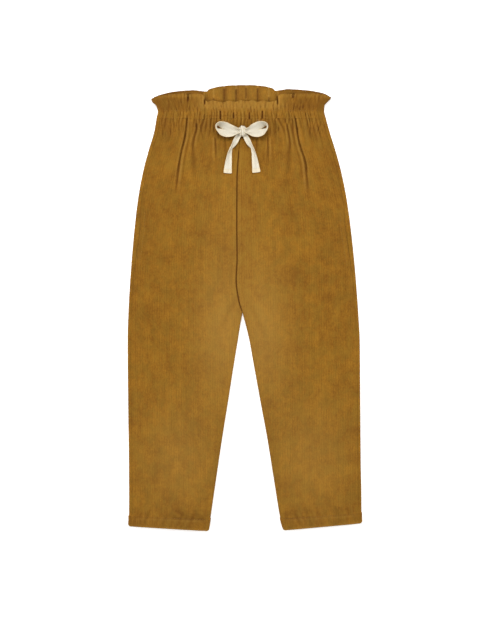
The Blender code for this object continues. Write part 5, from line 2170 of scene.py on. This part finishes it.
@dataclass
class Studio:
    """A white table, soft light from above and behind the waist, and the camera."""

    table: OpalTable
    scale: float = 1.2          # millimetres to a pixel of the photograph
    image: tuple[int, int] = (490, 618)
    lens: float = 85.0
    sensor: float = 36.0
    table_half: float = 3000.0
    box_size: float = 0.5
    # Place in metres and power of each soft box.
    boxes: Table = ((-0.1, 0.9, 1.2, 13.8), (-1.25, -0.08, 0.75, 8.2), (1.25, -0.08, 0.75, 8.2))
    sky: float = 0.37

    def build_camera(self) -> None:
        """Put a long lens straight above the garment's middle."""
        data = bpy.data.cameras.new("camera")
        data.lens = self.lens
        data.sensor_width = self.sensor
        camera = bpy.data.objects.new("camera", data)
        height = self.image[1] * self.scale * MM
        camera.location = (0, -0.0011, 0.006 + height * self.lens / self.sensor)
        bpy.context.collection.objects.link(camera)
        bpy.context.scene.camera = camera

    def build_light(self) -> None:
        """Put soft boxes behind the waist and at both sides, under an even sky."""
        for name, (*place, power) in zip(("top", "left", "right"), self.boxes):
            data = bpy.data.lights.new("softbox_" + name, "AREA")
            data.shape = "SQUARE"
            data.size = self.box_size
            data.energy = power
            light = bpy.data.objects.new("softbox_" + name, data)
            light.location = place
            light.rotation_mode = "QUATERNION"
            light.rotation_quaternion = (-light.location).to_track_quat("-Z", "Y")
            bpy.context.collection.objects.link(light)
        world = bpy.data.worlds.new("sky")
        world.use_nodes = True
        background = world.node_tree.nodes["Background"]
        background.inputs["Color"].default_value = (1, 1, 1, 1)
        background.inputs["Strength"].default_value = self.sky
        bpy.context.scene.world = world
        bpy.context.scene.view_settings.view_transform = "Standard"

    def build_table(self) -> None:
        """Put the surface under the garment."""
        size = self.table_half
        corners = np.array([(x, y, -0.1) for x, y in ((-size, -size), (size, -size),
                                                      (size, size), (-size, size))])
        top = make_piece("table_top", corners, [[0, 1, 2, 3]], {}, self.table.material(
            "opal_acrylic_light_table"))


# -- The folds of this garment, placed one by one --

# Depth, width, side of the ridge, spread, head and tail of each fold. The main fold comes first.
# The right side has the same kinds, with the ridges mirrored.
FRONT_KINDS = (
    (1.85, 0.85, 1, 0.9, 0.04, 0.5), (1.2, 1, 0, 0.8, 0.1, 0.6), (0.6, 3.2, 0, 0.6, 0.3, 0.6),
    (1, 1.2, 1, 0.5, 0.1, 0.6), (0.9, 0.9, -1, 1.2, 0.12, 0.7), (0.6, 1.8, 0, 1.5, 0.1, 0.7),
    (0.5, 1.6, 0, 1.5, 0.1, 0.7), (0.5, 1.4, 0, 1.6, 0.15, 0.7), (0.45, 4.5, 0, 0.8, 0.3, 0.6),
    (0.5, 3.2, 0, 1, 0.25, 0.6), (0.35, 5, 0, 0.6, 0.3, 0.5), (0.3, 4, 0, 0.6, 0.3, 0.5),
)
BACK_KINDS = (
    (1.1, 2, 0, 1.4, 0.1, 0.6), (1, 2.4, 0, 1.2, 0.1, 0.6), (0.8, 2.2, 0, 1.2, 0.1, 0.6),
    (0.9, 3.4, 0, 0.8, 0.2, 0.6), (0.6, 4.6, 0, 0.6, 0.3, 0.5),
)
# Y and X of the points that each fold runs through.
FRONT_LINES = {
    Side.LEFT: (
        ((498, -69), (496, -69.3), (485, -70.4), (471, -72.4), (455, -76.4), (437, -79.6),
         (422.8, -81.4), (396, -84)),
        ((491, -58), (483.6, -58.2), (470.8, -61.2), (462, -62.6), (448, -63)),
        ((470, -61), (450, -62.4), (430, -61.6), (404, -60)),
        ((503, -46), (497, -48.6), (485, -52.2), (472, -54.6)),
        ((474, -36.4), (469, -35.6), (456, -35), (434, -34.6)),
        ((492, -84), (470, -88), (446, -93)), ((489, -96), (468, -101), (440, -107)),
        ((474, -24), (452, -22.6), (424, -22)), ((420, -66), (380, -60), (330, -58)),
        ((276, -14), (252, -24), (222, -38)), ((150, -92), (120, -86), (84, -84)),
        ((118, -64), (100, -58), (72, -56)),
    ),
    Side.RIGHT: (
        ((498, 59), (496, 60), (478.8, 62.8), (469, 64.4), (457, 67.6), (448.4, 70.8),
         (437, 73.2), (426, 74), (396, 77.6)),
        ((491, 49.4), (488.4, 50), (473.2, 52.8), (463.6, 54), (450, 53.4)),
        ((468, 53.6), (450, 53), (430, 51.6), (404, 49.4)),
        ((503, 37.6), (490, 42), (483.6, 45.2), (472, 47.6)),
        ((474, 27.2), (472.4, 27.6), (454, 27.4), (434, 27.2)),
        ((492, 74), (470, 79), (446, 84)), ((489, 86), (468, 92), (440, 98)),
        ((474, 14), (452, 13), (424, 12)), ((424, 60), (384, 54), (336, 50)),
        ((276, 4), (250, 16), (220, 30)), ((164, 88), (130, 82), (92, 82)),
        ((112, 62), (92, 56), (66, 58)),
    ),
}
BACK_LINES = {
    Side.LEFT: (
        ((486, -38), (462, -42), (414, -46)), ((480, -62), (450, -68), (398, -72)),
        ((476, -88), (446, -94), (404, -100)), ((278, -16), (250, -34), (214, -54)),
        ((180, -104), (150, -92), (110, -84)),
    ),
    Side.RIGHT: (
        ((486, 30), (460, 33), (418, 36)), ((482, 54), (448, 60), (392, 63)),
        ((478, 80), (448, 86), (410, 93)), ((280, 6), (246, 26), (208, 44)),
        ((168, 98), (140, 86), (98, 80)),
    ),
}
# X, Y, half sizes and strength of the patches of painted shade: in soft folds, and shadows under
# the tape bow.
PAINTED_SHADE_PATCHES = {
    Side.LEFT: ((-61, 441, 2.8, 18, 0.34), (-40, 440, 2.2, 16, 0.16), (-84, 452, 3, 20, 0.14),
                (-92, 480, 5, 9, 0.14), (-32.2, 486, 3.6, 3, 1), (-23, 472.6, 7.5, 1.1, 0.6),
                (-11.6, 461, 1.1, 5, 0.6), (-5, 471.6, 2.2, 1.6, 0.9)),
    Side.RIGHT: ((52, 450, 2.8, 15, 0.34), (33, 444, 2.2, 16, 0.16), (80, 452, 3, 20, 0.14),
                 (84, 480, 5, 9, 0.14), (23.8, 486.2, 3.6, 3, 1), (14, 472.6, 7, 1.1, 0.6),
                 (3, 463, 1.1, 5.5, 0.6), (-3, 471.6, 2.2, 1.6, 0.9)),
}


def folds(side: Side, kinds: Table, lines: dict[Side, tuple[Table, ...]]) -> tuple[Crease, ...]:
    """The folds of one panel."""
    return tuple(Crease(line, depth, width, -side.sign * lean, *ends)
                 for line, (depth, width, lean, *ends) in zip(lines[side], kinds))


def main() -> None:
    """Build the trousers and the studio."""
    logging.basicConfig(level=logging.INFO, format="%(name)s: %(message)s")
    studio = Studio(OpalTable())
    studio.build_camera()
    cloth, thread, tape = Corduroy(), SewingThread(), CottonTape()
    TapeBow(tape, thread).build()
    pieces = []
    for side in Side:
        front = FrontPanel(side, cloth, thread, folds(side, FRONT_KINDS, FRONT_LINES),
                           painted_shade_patches=PAINTED_SHADE_PATCHES[side])
        back = BackPanel(side, cloth, thread, folds(side, BACK_KINDS, BACK_LINES))
        pieces += front.build() + back.build()
    pieces += WaistFront(cloth, thread).build() + WaistBack(cloth, thread).build()
    studio.build_light()
    studio.build_table()


if __name__ == "__main__":
    main()
